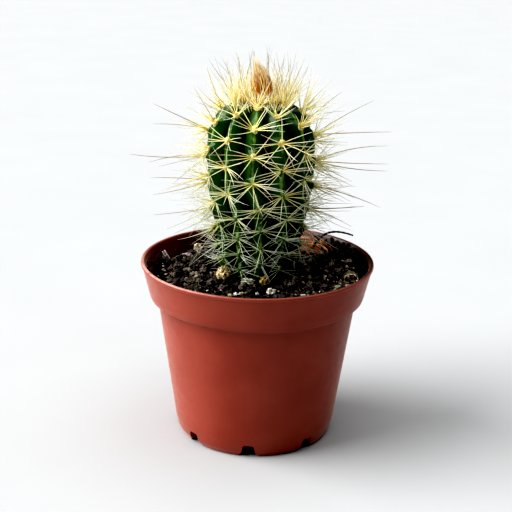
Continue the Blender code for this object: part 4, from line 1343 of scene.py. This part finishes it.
@dataclass
class ColumnStem:
    """The ribbed green stem and its areoles.

    Each areole swells the skin at its seat, notches it above and paints a pale highlight streak
    below it along the crest. A mark holds how far below the seat it lies, its length and its width.
    """

    axis_x: float = 0.5
    ribs: int = 12
    rib_depth: float = 4.2
    full_depth_radius: float = 14.0
    rib_sharpness: float = 0.8
    rib_acute: float = 0.5
    rib_edge: float = 0.12
    rib_azimuth: float = -7.6
    twist_degrees: float = 10.0
    twist_heights: Pair = (86.0, 98.0)
    outline: tuple[Pair, ...] = (
        (1.6, 124.3), (5.2, 124.8), (9.6, 123.8), (13.7, 121.6), (16.9, 118.0), (18.7, 113.0),
        (19.4, 106.5), (19.2, 99.0), (18.2, 90.0), (16.4, 80.0), (15.0, 72.0), (13.8, 64.5),
        (13.4, 60.0))
    root: tuple[Pair, ...] = ((11.8, 57.0), (11.2, 54.0), (9.6, 50.3))
    first_areole_arc: float = 8.6
    half_steps: Pair = (4.7, 3.0)
    closer_rows: tuple[int, int] = (7, 12)
    areole_rows: int = 17
    lowest_areole: float = 64.5
    areole_bump: float = 0.8
    areole_notch: float = 0.7
    areole_reach: float = 6.0
    # The third mark is the painted highlight streak below each areole.
    areole_marks: tuple[Triple, ...] = ((0.0, 1.5, 1.5), (-2.3, 0.8, 1.9), (2.6, 1.2, 0.5))
    worn_down: float = 0.3
    unevenness: Pair = (0.22, 0.25)
    dimple: float = 0.4
    columns_per_rib: int = 24
    row_spacing: float = 0.42
    ageing_arcs: Pair = (32.0, 78.0)

    def __post_init__(self) -> None:
        """Work out the crest line by arc length, and the areole rows."""
        self.curve = smooth_curve(self.outline, 8)
        steps = np.linalg.norm(np.diff(self.curve, axis=0), axis=1)
        self.arcs = np.concatenate([[0.0], np.cumsum(steps)])
        self.rows: list[float] = []
        arc = self.first_areole_arc
        while len(self.rows) < self.areole_rows and self.crest(arc)[1] >= self.lowest_areole:
            share = share_between(len(self.rows), *self.closer_rows)
            self.rows.append(arc)
            arc += self.half_steps[0] + (self.half_steps[1] - self.half_steps[0]) * share

    def crest(self, arc: float) -> Pair:
        """(radius, height) of the rib crests at an arc from the dimple's rim."""
        return tuple(float(np.interp(arc, self.arcs, values)) for values in self.curve.T)

    def slope(self, arc: float) -> Vector:
        """Outward normal (radial, upward) of the crest line at an arc."""
        ahead = np.array(self.crest(min(arc + 0.5, self.arcs[-1])))
        along = Vector(ahead - self.crest(max(arc - 0.5, 0.0))).normalized()
        return Vector((-along.y, along.x))

    def twist(self, height: float) -> float:
        """Turn of the ribs about the axis at a height, in degrees."""
        share = 1 - share_between(height, *self.twist_heights)
        return self.twist_degrees * share * share * (3 - 2 * share)

    def areoles(self) -> list[Areole]:
        """Every areole, row by row from the crown down."""
        found = []
        for step, arc in enumerate(self.rows):
            radius, height = self.crest(arc)
            radial, upward = self.slope(arc)
            for rib in range(step % 2, self.ribs, 2):
                azimuth = self.rib_azimuth + rib * 360 / self.ribs + self.twist(height)
                angle = math.radians(azimuth)
                flat = Vector((math.sin(angle), -math.cos(angle), 0.0))
                outward = flat * radial + Vector((0.0, 0.0, upward))
                across = Vector((math.cos(angle), math.sin(angle), 0.0))
                seat = Vector((self.axis_x, 0.0, height)) + flat * radius
                found.append(Areole(seat, outward, across, across.cross(outward) * -1, height,
                                    azimuth))
        return found

    def build(self) -> None:
        """The skin, closed at the dimple and at the root in the soil's hole."""
        columns = self.ribs * self.columns_per_rib
        degrees = np.arange(columns) * 360 / columns
        pitch = 360 / self.ribs
        offset = (degrees + pitch / 2) % pitch - pitch / 2
        rib = np.round(degrees / pitch).astype(int) % self.ribs
        wave = np.abs(np.cos(np.radians(offset) * self.ribs / 2)) ** self.rib_sharpness
        edge = self.rib_edge
        flank = (np.hypot(2 * offset / pitch, edge) - edge) / (math.hypot(1.0, edge) - edge)
        profile = wave + (1 - flank - wave) * self.rib_acute
        rows, tints = [], []

        def directions(height: float) -> np.ndarray:
            """The level outward direction of every column at a height."""
            azimuth = np.radians(self.rib_azimuth + degrees + self.twist(height))
            return np.stack([np.sin(azimuth), -np.cos(azimuth), np.zeros(columns)], 1)

        for arc in np.linspace(0.0, self.arcs[-1], int(self.arcs[-1] / self.row_spacing)):
            radius, height = self.crest(arc)
            age = share_between(arc, *self.ageing_arcs)
            depth = self.rib_depth * min(radius / self.full_depth_radius, 1.0)
            depth *= 1 - self.worn_down * age
            swollen, notched, highlight_streak = marks = np.zeros((3, columns))
            side = np.radians(offset) * radius
            for step, seat_arc in enumerate(self.rows):
                if abs(arc - seat_arc) < self.areole_reach:
                    mine = (step + rib) % 2 == 0
                    for mark, (lower, length, width) in zip(marks, self.areole_marks):
                        mark += mine * np.exp(-((arc - seat_arc - lower) / length) ** 2
                                              - (side / width) ** 2)
            flat = directions(height)
            reach = radius - depth * (1 - profile) + self.areole_bump * swollen
            reach -= self.areole_notch * notched
            ring = flat * reach[:, None] + (self.axis_x, 0.0, height)
            uneven = self.unevenness[0] + self.unevenness[1] * age
            ring += flat * (uneven * lumps(ring, 5.0, 3))[:, None]
            rows.append(ring)
            tints.append(np.stack([wave, np.full(columns, age), np.maximum(swollen, highlight_streak),
                                   np.ones(columns)], 1))
        for radius, height in self.root:
            rows.append(directions(height) * radius + (self.axis_x, 0.0, height))
            tints.append(np.tile((0.5, 1.0, 0.0, 1.0), (columns, 1)))
        shell = Shell().wrap(rows, (self.axis_x, 0.0, self.outline[0][1] - self.dimple),
                             (self.axis_x, 0.0, self.root[-1][1]),
                             np.concatenate([tints[0][:1], *tints, tints[-1][:1]]))
        shell.piece("ribbed_stem", WaxyEpidermis().material(), "cactus_skin", "cactus_stem")


class Age(Enum):
    """How old a spine is, from the crown down, with its colours at root, middle and tip."""

    YOUNG = ("F8E68C", "FFF6C4", "FBF6E4")
    GROWN = ("E2D888", "EEEAC6", "D4D4C0")
    OLD = ("C4C88E", "DEE2CA", "B8BEAE")
    OLDEST = ("98A682", "CCD6C4", "B4BCAE")
    LONGEST = ("E0CC70", "B0ABA0", "5E5D62")
    BRONZED = ("A8681E", "E2B85C", "F8E8B8")

    def colours(self) -> list[Colour]:
        """The three colours in linear values."""
        return [linear(colour) for colour in self.value]


AGE_HEIGHTS = ((120.0, Age.YOUNG), (104.0, Age.GROWN), (84.0, Age.OLD), (68.0, Age.OLDEST))


@dataclass
class SpineCoat:
    """All the spines of the stem below the crown, and the felt that they grow from.

    Low on the sparse side a star keeps only the sparse shares of its radial spines, the first
    below the thin height and the second above it. Low on the thin side it keeps the thin share.
    """

    stem: ColumnStem
    soil: PottingSoil
    radials: tuple[int, int, int] = (9, 16, 9)
    radial_heights: Triple = (66.0, 92.0, 114.0)
    radial_length: Pair = (10.0, 15.5)
    radial_width: float = 0.09
    stray_share: float = 0.22
    stray_length: float = 1.45
    flattened: Pair = (0.28, 0.5)
    radial_lift: Pair = (8.0, 56.0)
    central_lift: Pair = (38.0, 78.0)
    central_length: Pair = (11.0, 21.0)
    central_width: float = 0.12
    centrals: tuple[int, ...] = (3, 4, 5)
    long_central_share: float = 0.35
    short_central: float = 0.7
    front_cosines: Pair = (0.6, 0.9)
    front_flatter: float = 18.0
    crown_short: float = 0.55
    crown_heights: Pair = (119.0, 121.0)
    low_heights: Pair = (64.0, 84.0)
    sparse_below: float = 96.0
    sparse_side: Pair = (60.0, 165.0)
    sparse_shares: Pair = (0.4, 0.6)
    thin_below: float = 76.0
    thin_side: Pair = (230.0, 320.0)
    thin_share: float = 0.55
    upright_heights: Pair = (113.0, 123.0)
    upright_pull: float = 0.6
    weathered_lengths: Pair = (13.0, 20.0)
    sparse_heights: Pair = (66.0, 86.0)
    slim_heights: Pair = (80.0, 108.0)
    reach: float = 45.6
    top: float = 140.5
    hairs: int = 16
    hair_colours: tuple[str, str] = ("C2C4A0", "F8F1CC")
    hair_heights: Pair = (72.0, 116.0)
    felt_half: Triple = (1.1, 1.3, 0.9)
    felt_colours: tuple[str, str] = ("A9AA7C", "F1E5A4")
    felt_heights: Pair = (80.0, 116.0)
    long_tips: tuple[Triple, ...] = (
        (-37.7, -4.0, 123.8), (-38.3, 2.0, 115.1), (-46.5, -4.0, 105.5), (-40.3, 3.0, 100.6),
        (-39.1, -3.0, 96.6), (-38.6, 2.0, 89.0), (-38.1, -4.0, 83.2), (-29.8, 0.0, 72.7),
        (-23.2, 4.0, 124.3), (-33.5, 0.0, 117.7), (-31.4, -6.0, 100.4), (-33.0, -8.0, 93.6),
        (40.5, 3.0, 125.0), (47.6, 2.0, 113.9), (46.5, -3.0, 103.4), (46.0, -2.0, 100.6),
        (43.6, -6.0, 88.0), (36.1, 2.0, 86.3), (32.1, -4.0, 119.1), (32.5, 4.0, 106.5),
        (28.7, -8.0, 92.7), (38.8, 0.0, 86.9), (46.5, 3.0, 108.5), (5.0, -46.5, 101.0),
        (-4.0, 46.5, 106.0), (-14.0, 40.0, 112.0), (18.0, 38.0, 96.0), (-20.0, 34.0, 90.0),
        (14.0, 36.0, 121.0), (-19.2, 2.0, 136.4), (-15.7, -6.0, 130.9), (21.1, -3.0, 134.2),
        (26.6, 3.0, 128.3), (26.0, 2.0, 133.1), (-22.4, -4.0, 127.9), (17.6, -2.0, 137.7),
        (-19.5, 3.0, 137.1), (-17.1, -3.0, 135.7), (-12.2, 0.0, 140.0), (-10.5, 3.0, 137.9),
        (-6.3, -2.0, 139.7), (-2.9, 3.0, 142.6), (4.1, -3.0, 140.3), (5.5, 2.0, 138.6),
        (10.3, 1.0, 141.4), (13.2, -2.0, 137.3), (24.3, 1.0, 127.0), (28.3, -3.0, 125.3))

    def colours(self, height: float, chance: random.Random) -> list[Colour]:
        """Colours of one spine, blended between the two ages nearest to its height.

        Args:
            height: the height of the areole.
            chance: the random draws.

        Returns:
            Linear colours at the root, the middle and the tip.
        """
        shifted = height + chance.uniform(-5.0, 5.0)
        for (high, young), (low, old) in zip(AGE_HEIGHTS, AGE_HEIGHTS[1:]):
            if shifted > low or old is Age.OLDEST:
                share = 1 - share_between(shifted, low, high)
                break
        light = chance.uniform(0.82, 1.12)
        return [lit(blend(a, b, share), light) for a, b in zip(young.colours(), old.colours())]

    def allowed(self, tip: Vector) -> bool:
        """Whether a tip stays within the plant's reach and clear of the soil and the rim."""
        if max(abs(tip.x), abs(tip.y)) > self.reach or tip.z > self.top:
            return False
        outside = math.hypot(tip.x, tip.y) > self.soil.pot.rim_radius - 5.0
        if outside and tip.z < self.soil.pot.height + 1.5:
            return False
        return tip.z > self.soil.level(tip.x, tip.y) + 0.9

    def grown(self, root: Vector, along: Vector, length: float) -> Vector | None:
        """The tip of a spine, drawn back until it is allowed, or None if none is."""
        while length > 3.0:
            tip = root + along * length
            if self.allowed(tip):
                return tip
            length -= 0.8
        return None

    def spine(self, root: Vector, tip: Vector, radius: float, height: float,
              chance: random.Random) -> Spine:
        """A spine with its root sunk in the felt, slightly bowed, and grey-tipped if it is long."""
        along = (tip - root).normalized()
        length = (tip - root).length
        bow = along.orthogonal().normalized() * chance.uniform(-0.045, 0.045) * length
        bow += Vector((0.0, 0.0, 1.0)) * chance.uniform(-0.03, 0.03) * length
        weathered = share_between(length, *self.weathered_lengths)
        tones = tuple(blend(tone, worn, weathered) for tone, worn
                      in zip(self.colours(height, chance), Age.LONGEST.colours()))
        return Spine(root - along * 0.7, tip, bow, radius, tones)

    def star(self, areole: Areole, chance: random.Random) -> list[Spine]:
        """One areole's spines: a star close to the stem and a few that stand out.

        Args:
            areole: where they grow.
            chance: the random draws.

        Returns:
            The spines that have room.
        """
        spines = []
        height, azimuth = areole.height, areole.azimuth
        upright = Vector((0.0, 0.0, self.upright_pull * share_between(height,
                                                                      *self.upright_heights)))
        low = 0.68 + 0.32 * share_between(height, *self.low_heights)
        full = share_between(height, *self.sparse_heights)
        stout = share_between(height, *self.slim_heights)
        radials = round(np.interp(height, self.radial_heights, self.radials))
        facing = share_between(math.cos(math.radians(azimuth)), *self.front_cosines)
        short = 1 - (1 - self.crown_short) * facing * share_between(height, *self.crown_heights)
        if height < self.sparse_below and self.sparse_side[0] < azimuth < self.sparse_side[1]:
            radials = round(radials * self.sparse_shares[int(height >= self.thin_below)])
        if height < self.thin_below and self.thin_side[0] < azimuth < self.thin_side[1]:
            radials = round(radials * self.thin_share)

        def heading(turn: float, flattened: float, lifts: Pair) -> tuple[Vector, Vector]:
            """The direction over the skin at a turn, and the spine's own, lifted off the skin."""
            spread = areole.across * math.cos(turn) + areole.up * math.sin(turn) * flattened
            spread.normalize()
            lift = math.radians(chance.uniform(lifts[0], lifts[1] - self.front_flatter * facing))
            along = spread * math.cos(lift) + areole.outward * math.sin(lift) + upright
            return spread, along.normalized()

        def grow(root: Vector, along: Vector, length: float, width: float) -> None:
            """Add the spine if it has room."""
            tip = self.grown(root, along, length)
            if tip:
                radius = chance.uniform(width, width + 0.05) + 0.06 * stout
                spines.append(self.spine(root, tip, radius, height, chance))

        start = chance.uniform(0, 360 / radials)
        for index in range(radials):
            turn = math.radians(start + 360 / radials * index + chance.uniform(-12, 12))
            spread, along = heading(turn, self.flattened[0], self.radial_lift)
            length = chance.uniform(*self.radial_length) * low
            length *= self.stray_length if chance.random() < self.stray_share * full else 1.0
            length *= (0.68 + 0.32 * abs(math.cos(turn))) * short
            grow(areole.seat + spread * 0.55 + areole.outward * 0.25, along, length,
                 self.radial_width)
        centrals = chance.choice(self.centrals) * (0.35 + 0.65 * full) * (1 - 0.4 * facing)
        for _central in range(round(centrals)):
            _spread, along = heading(chance.uniform(0, FULL_TURN), self.flattened[1],
                                     self.central_lift)
            length = chance.uniform(*self.central_length) * low
            length *= 1.0 if chance.random() < self.long_central_share else self.short_central
            grow(areole.seat + areole.outward * 0.35, along, length, self.central_width)
        return spines

    def long_spines(self, areoles: list[Areole], chance: random.Random) -> list[Spine]:
        """The longest spines, each from the nearest areole that faces its tip."""
        spines = []
        for tip in map(Vector, self.long_tips):
            fitting = [areole for areole in areoles
                       if (tip - areole.seat).normalized().dot(areole.outward) > 0.45]
            areole = min(fitting, key=lambda spot: (tip - spot.seat).length)
            spines.append(self.spine(areole.seat, tip, chance.uniform(0.2, 0.25), areole.height,
                                     chance))
        return spines

    def felt(self, areoles: list[Areole]) -> Shell:
        """The felt cushions, larger and more golden towards the crown."""
        chance = random.Random(21)
        templates = [lump_template(seed, 3, 0.3) for seed in range(60, 65)]
        faded, golden = map(linear, self.felt_colours)
        shell = Shell()
        for areole in areoles:
            young = share_between(areole.height, *self.felt_heights)
            template = chance.choice(templates)
            size = (0.55 + 0.55 * young) * chance.uniform(0.9, 1.1)
            axes = np.array([areole.across, areole.up, areole.outward])
            shell.stamp(template, np.array(self.felt_half) * size,
                        areole.seat + areole.outward * 0.1, blend(faded, golden, young), axes)
        return shell

    def wool_hairs(self, areoles: list[Areole]) -> list[Spine]:
        """Short curly hairs that fray the edge of each felt cushion."""
        chance = random.Random(22)
        faded, golden = map(linear, self.hair_colours)
        hairs = []
        for areole in areoles:
            shade = blend(faded, golden, share_between(areole.height, *self.hair_heights))
            for _hair in range(self.hairs):
                turn = chance.uniform(0, FULL_TURN)
                spread = areole.across * math.cos(turn) + areole.up * math.sin(turn)
                root = areole.seat + spread * 0.5
                tip = root + spread * chance.uniform(0.5, 1.1) + areole.outward * chance.uniform(
                    0.3, 1.1)
                bow = areole.outward * chance.uniform(0.1, 0.4)
                hairs.append(Spine(root, tip, bow, 0.05, (shade,) * 3))
        return hairs

    def build(self) -> None:
        """Grow the felt, its hairs and every spine."""
        areoles = self.stem.areoles()
        self.felt(areoles).piece("areole_felt", AreoleFelt().material(), "golden_spines")
        hairs = spine_shell(self.wool_hairs(areoles), 3, 3)
        hairs.piece("areole_hairs", LignifiedSpine("areole_hair").material(), "golden_spines")
        chance = random.Random(12)
        spines = self.long_spines(areoles, chance)
        for areole in areoles:
            spines += self.star(areole, chance)
        spine_shell(spines).piece("stem_spines", LignifiedSpine().material(), "golden_spines")
        LOG.info("stem_spines: %d spines on %d areoles", len(spines), len(areoles))


@dataclass
class Crown:
    """The woolly growing point, its golden spines and the rust-red tuft of the youngest ones."""

    stem: ColumnStem
    cap_radius: float = 7.6
    cap_thickness: float = 1.5
    cap_rows: tuple[int, int] = (14, 60)
    cap_crest: float = 5.2
    wool: str = "B8964E"
    gap: float = 0.3
    spines: int = 460
    spine_radii: Pair = (2.2, 10.2)
    spine_length: Pair = (6.0, 12.5)
    spine_lean: Pair = (2.0, 27.0)
    front_short: float = 0.68
    long_every: int = 9
    bronzed: float = 0.11
    long_length: Pair = (13.0, 19.0)
    top: float = 144.4
    tuft_foot: Triple = (2.2, -1.2, 125.8)
    tuft_tip: Triple = (-1.9, 0.0, 140.0)
    tuft_widest: float = 3.7
    tuft_locks: int = 13
    lock_spines: int = 7
    tuft_root_and_fill: str = "FFC46A"
    tuft_end: str = "FFEEB8"
    tuft_tones: tuple[str, ...] = (
        "A8480A", "C46410", "DE8C1C", "D27612", "EEB040", "F8E494", "F4D470")

    def cap_level(self, radius: float) -> float:
        """Height of the wool at a radius from the stem's axis."""
        crest = self.stem.crest(self.cap_crest)[1] + self.gap
        return crest + self.cap_thickness * (1 - 0.9 * (radius / self.cap_radius) ** 2)

    def build_wool(self) -> None:
        """The pale wool cap that the crown's spines stand in."""
        rings, columns = self.cap_rows
        rows = []
        for index in range(1, rings + 1):
            radius = self.cap_radius * index / rings
            ring = level_ring(radius, self.cap_level(radius), columns, self.stem.axis_x)
            ring[:, 2] += 0.45 * lumps(ring, 1.0, 3)
            rows.append(ring)
        rows.append(rows[-1] * (0.97, 0.97, 1.0) - (0.0, 0.0, 0.8))
        shell = Shell().wrap(rows, (self.stem.axis_x, 0.0, self.cap_level(0.0)),
                             (self.stem.axis_x, 0.0, rows[-1][:, 2].mean()), linear(self.wool))
        shell.piece("crown_wool", AreoleFelt().material(), "golden_spines")

    def build_spines(self) -> None:
        """Golden spines, upright in the middle and leaning out towards the shoulder."""
        chance = random.Random(5)
        spines = []
        inner, outer = self.spine_radii
        least, most = self.spine_length
        for index in range(self.spines):
            share = math.sqrt((index + 0.5) / self.spines)
            radius = inner + (outer - inner) * share
            angle = index * GOLDEN_ANGLE
            flat = Vector((math.cos(angle), math.sin(angle), 0.0))
            level = self.cap_level(min(radius, self.cap_radius)) - 0.5
            if radius > self.cap_radius:
                level = self.stem.crest(radius)[1] - 1.0
            root = Vector((self.stem.axis_x, 0.0, level)) + flat * radius
            lean = self.spine_lean[0] + self.spine_lean[1] * share ** 1.5
            lean = math.radians(lean + chance.gauss(0, 5))
            side = Vector((-flat.y, flat.x, 0.0)) * chance.gauss(0, 0.1)
            along = (flat * math.sin(lean) + Vector((0, 0, math.cos(lean))) + side).normalized()
            front = share_between(math.cos(angle + math.pi / 2), 0.2, 0.8)
            length = least + (most - least) * chance.random() ** 1.4
            length *= 1 - self.front_short * front
            is_long = index % self.long_every == 0
            if is_long:
                length = chance.uniform(*self.long_length)
            length = min(length, (self.top - root.z) / along.z)
            bow = Vector((chance.uniform(-1, 1), chance.uniform(-1, 1), 0.0)) * 0.035 * length
            light = chance.uniform(0.92, 1.2)
            bronzed = chance.random() < self.bronzed * (1 + math.cos(angle))
            age = Age.LONGEST if is_long else Age.BRONZED if bronzed else Age.YOUNG
            spines.append(Spine(root, root + along * length, bow, chance.uniform(0.11, 0.17),
                                tuple(lit(colour, light) for colour in age.colours())))
        spine_shell(spines).piece("crown_bristles", LignifiedSpine().material(), "golden_spines",
                                  "crown_spines")

    def build_tuft(self) -> None:
        """The flame-shaped tuft: locks of young spines that bulge and close towards its tip."""
        chance = random.Random(3)
        foot = Vector(self.tuft_foot)
        axis = Vector(self.tuft_tip) - foot
        spines = []
        for lock in range(self.tuft_locks):
            share = (lock + 0.5) / self.tuft_locks
            width = self.tuft_widest * share ** 0.45
            rise = 1.04 - 0.52 * share * chance.uniform(0.5, 1.0)
            lock_light = chance.uniform(0.65, 1.25)
            for _spine in range(self.lock_spines):
                turn = lock * GOLDEN_ANGLE + chance.gauss(0, 0.35)
                flat = Vector((math.cos(turn), math.sin(turn), 0.0))
                root = foot + flat * width * chance.uniform(0.2, 0.6) - Vector((0, 0, 0.8))
                end = foot + axis * (rise + chance.uniform(-0.12, 0.06))
                end += flat * width * (1.4 - rise) * chance.uniform(0.7, 1.3)
                bow = flat * width * chance.uniform(0.3, 0.75)
                tone = linear(chance.choice(self.tuft_tones))
                tone = lit(tone, lock_light * chance.uniform(0.55, 1.35))
                # The pale root colour is partly the young spines' own and partly painted light that
                # lifts the shade at the tuft's foot.
                spines.append(Spine(root, end, bow, chance.uniform(0.14, 0.26),
                                    (blend(tone, linear(self.tuft_root_and_fill), 0.85), tone,
                                     blend(tone, linear(self.tuft_end), 0.75))))
        finish = LignifiedSpine("young_spine", 0.5, "B07A50")
        spine_shell(spines, 5, 8).piece("rust_tuft", finish.material(), "young_spines",
                                        "crown_tuft")

    def build(self) -> None:
        """Grow the wool, the golden spines and the tuft."""
        self.build_wool()
        self.build_spines()
        self.build_tuft()


@dataclass
class Studio:
    """A plain pale floor, soft light from the left and the camera."""

    floor_half: float = 6.0
    floor_colour: str = "A7A9AB"
    floor_cloud: str = "A9ABAD"
    camera_place: Triple = (0.0, -416.97, 204.8)
    pitch: float = 18.27
    yaw: float = -0.073
    roll: float = 1.07
    lens: float = 84.375
    sensor: float = 36.0
    clip_start: float = 0.01
    key_azimuth: float = -84.0
    key_elevation: float = 33.0
    key_spread: float = 55.0
    key_strength: float = 4.95
    ceiling_spread: float = 84.0
    ceiling_strength: float = 2.58
    daylight: str = "FFFEFC"
    sky: str = "EEF2F5"
    sky_strength: float = 0.02
    look: str = "High Contrast"
    black: float = 0.024

    def build_floor(self) -> None:
        """The floor: a wide pale sheet with a barely visible tooth."""
        mesh = bpy.data.meshes.new("studio_floor")
        half = self.floor_half
        mesh.from_pydata([(-half, -half, 0), (half, -half, 0), (half, half, 0), (-half, half, 0)],
                         [], [(0, 1, 2, 3)])
        surface = Surface("studio_paper", {"Roughness": 0.9, "IOR": 1.45})
        surface.relief(surface.mottle(0.8, 2.0), 0.02, 0.3)
        tone = surface.mixed(surface.patches(60.0, 3.0, 0.3, 0.7), self.floor_colour,
                             self.floor_cloud)
        mesh.materials.append(surface.finish(tone))
        floor = bpy.data.objects.new("studio_floor", mesh)
        bpy.context.scene.collection.objects.link(floor)

    def build_light(self) -> None:
        """A broad soft key from the left, light off the ceiling and an even pale sky."""
        azimuth, elevation = math.radians(self.key_azimuth), math.radians(self.key_elevation)
        window = Vector((math.sin(azimuth) * math.cos(elevation),
                         -math.cos(azimuth) * math.cos(elevation), math.sin(elevation)))
        for name, way, strength, spread in (
                ("window_key", window, self.key_strength, self.key_spread),
                ("ceiling_fill", Vector((0.0, 0.0, 1.0)), self.ceiling_strength,
                 self.ceiling_spread)):
            light = bpy.data.lights.new(name, "SUN")
            light.energy = strength
            light.angle = math.radians(spread)
            light.color = linear(self.daylight)[:3]
            lamp = bpy.data.objects.new(name, light)
            lamp.rotation_euler = way.to_track_quat("Z", "Y").to_euler()
            bpy.context.scene.collection.objects.link(lamp)
        world = bpy.data.worlds.new("studio_sky")
        world.use_nodes = True
        backdrop = world.node_tree.nodes["Background"]
        backdrop.inputs["Color"].default_value = linear(self.sky)
        backdrop.inputs["Strength"].default_value = self.sky_strength
        bpy.context.scene.world = world
        view = bpy.context.scene.view_settings
        view.view_transform = "Standard"
        view.look = self.look
        view.use_curve_mapping = True
        view.curve_mapping.black_level = (self.black,) * 3
        view.curve_mapping.update()

    def build_camera(self) -> None:
        """The camera at the photograph's place."""
        lens = bpy.data.cameras.new("camera")
        lens.sensor_width = self.sensor
        lens.lens = self.lens
        lens.clip_start = self.clip_start
        camera = bpy.data.objects.new("camera", lens)
        camera.matrix_world = Matrix.Translation([value * MM for value in self.camera_place])
        for degrees, axis in ((-self.yaw, "Z"), (90 - self.pitch, "X"), (self.roll, "Z")):
            camera.matrix_world @= Matrix.Rotation(math.radians(degrees), 4, axis)
        bpy.context.scene.collection.objects.link(camera)
        bpy.context.scene.camera = camera

    def build(self) -> None:
        """Set up the floor, the light and the camera."""
        self.build_camera()
        self.build_light()
        self.build_floor()


def main() -> None:
    logging.basicConfig(level=logging.INFO, format="%(name)s %(message)s")
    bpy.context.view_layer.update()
    Studio().build()
    pot = NurseryPot()
    pot.build()
    soil = PottingSoil(pot)
    soil.build()
    stem = ColumnStem()
    stem.build()
    SpineCoat(stem, soil).build()
    Crown(stem).build()


if __name__ == "__main__":
    main()
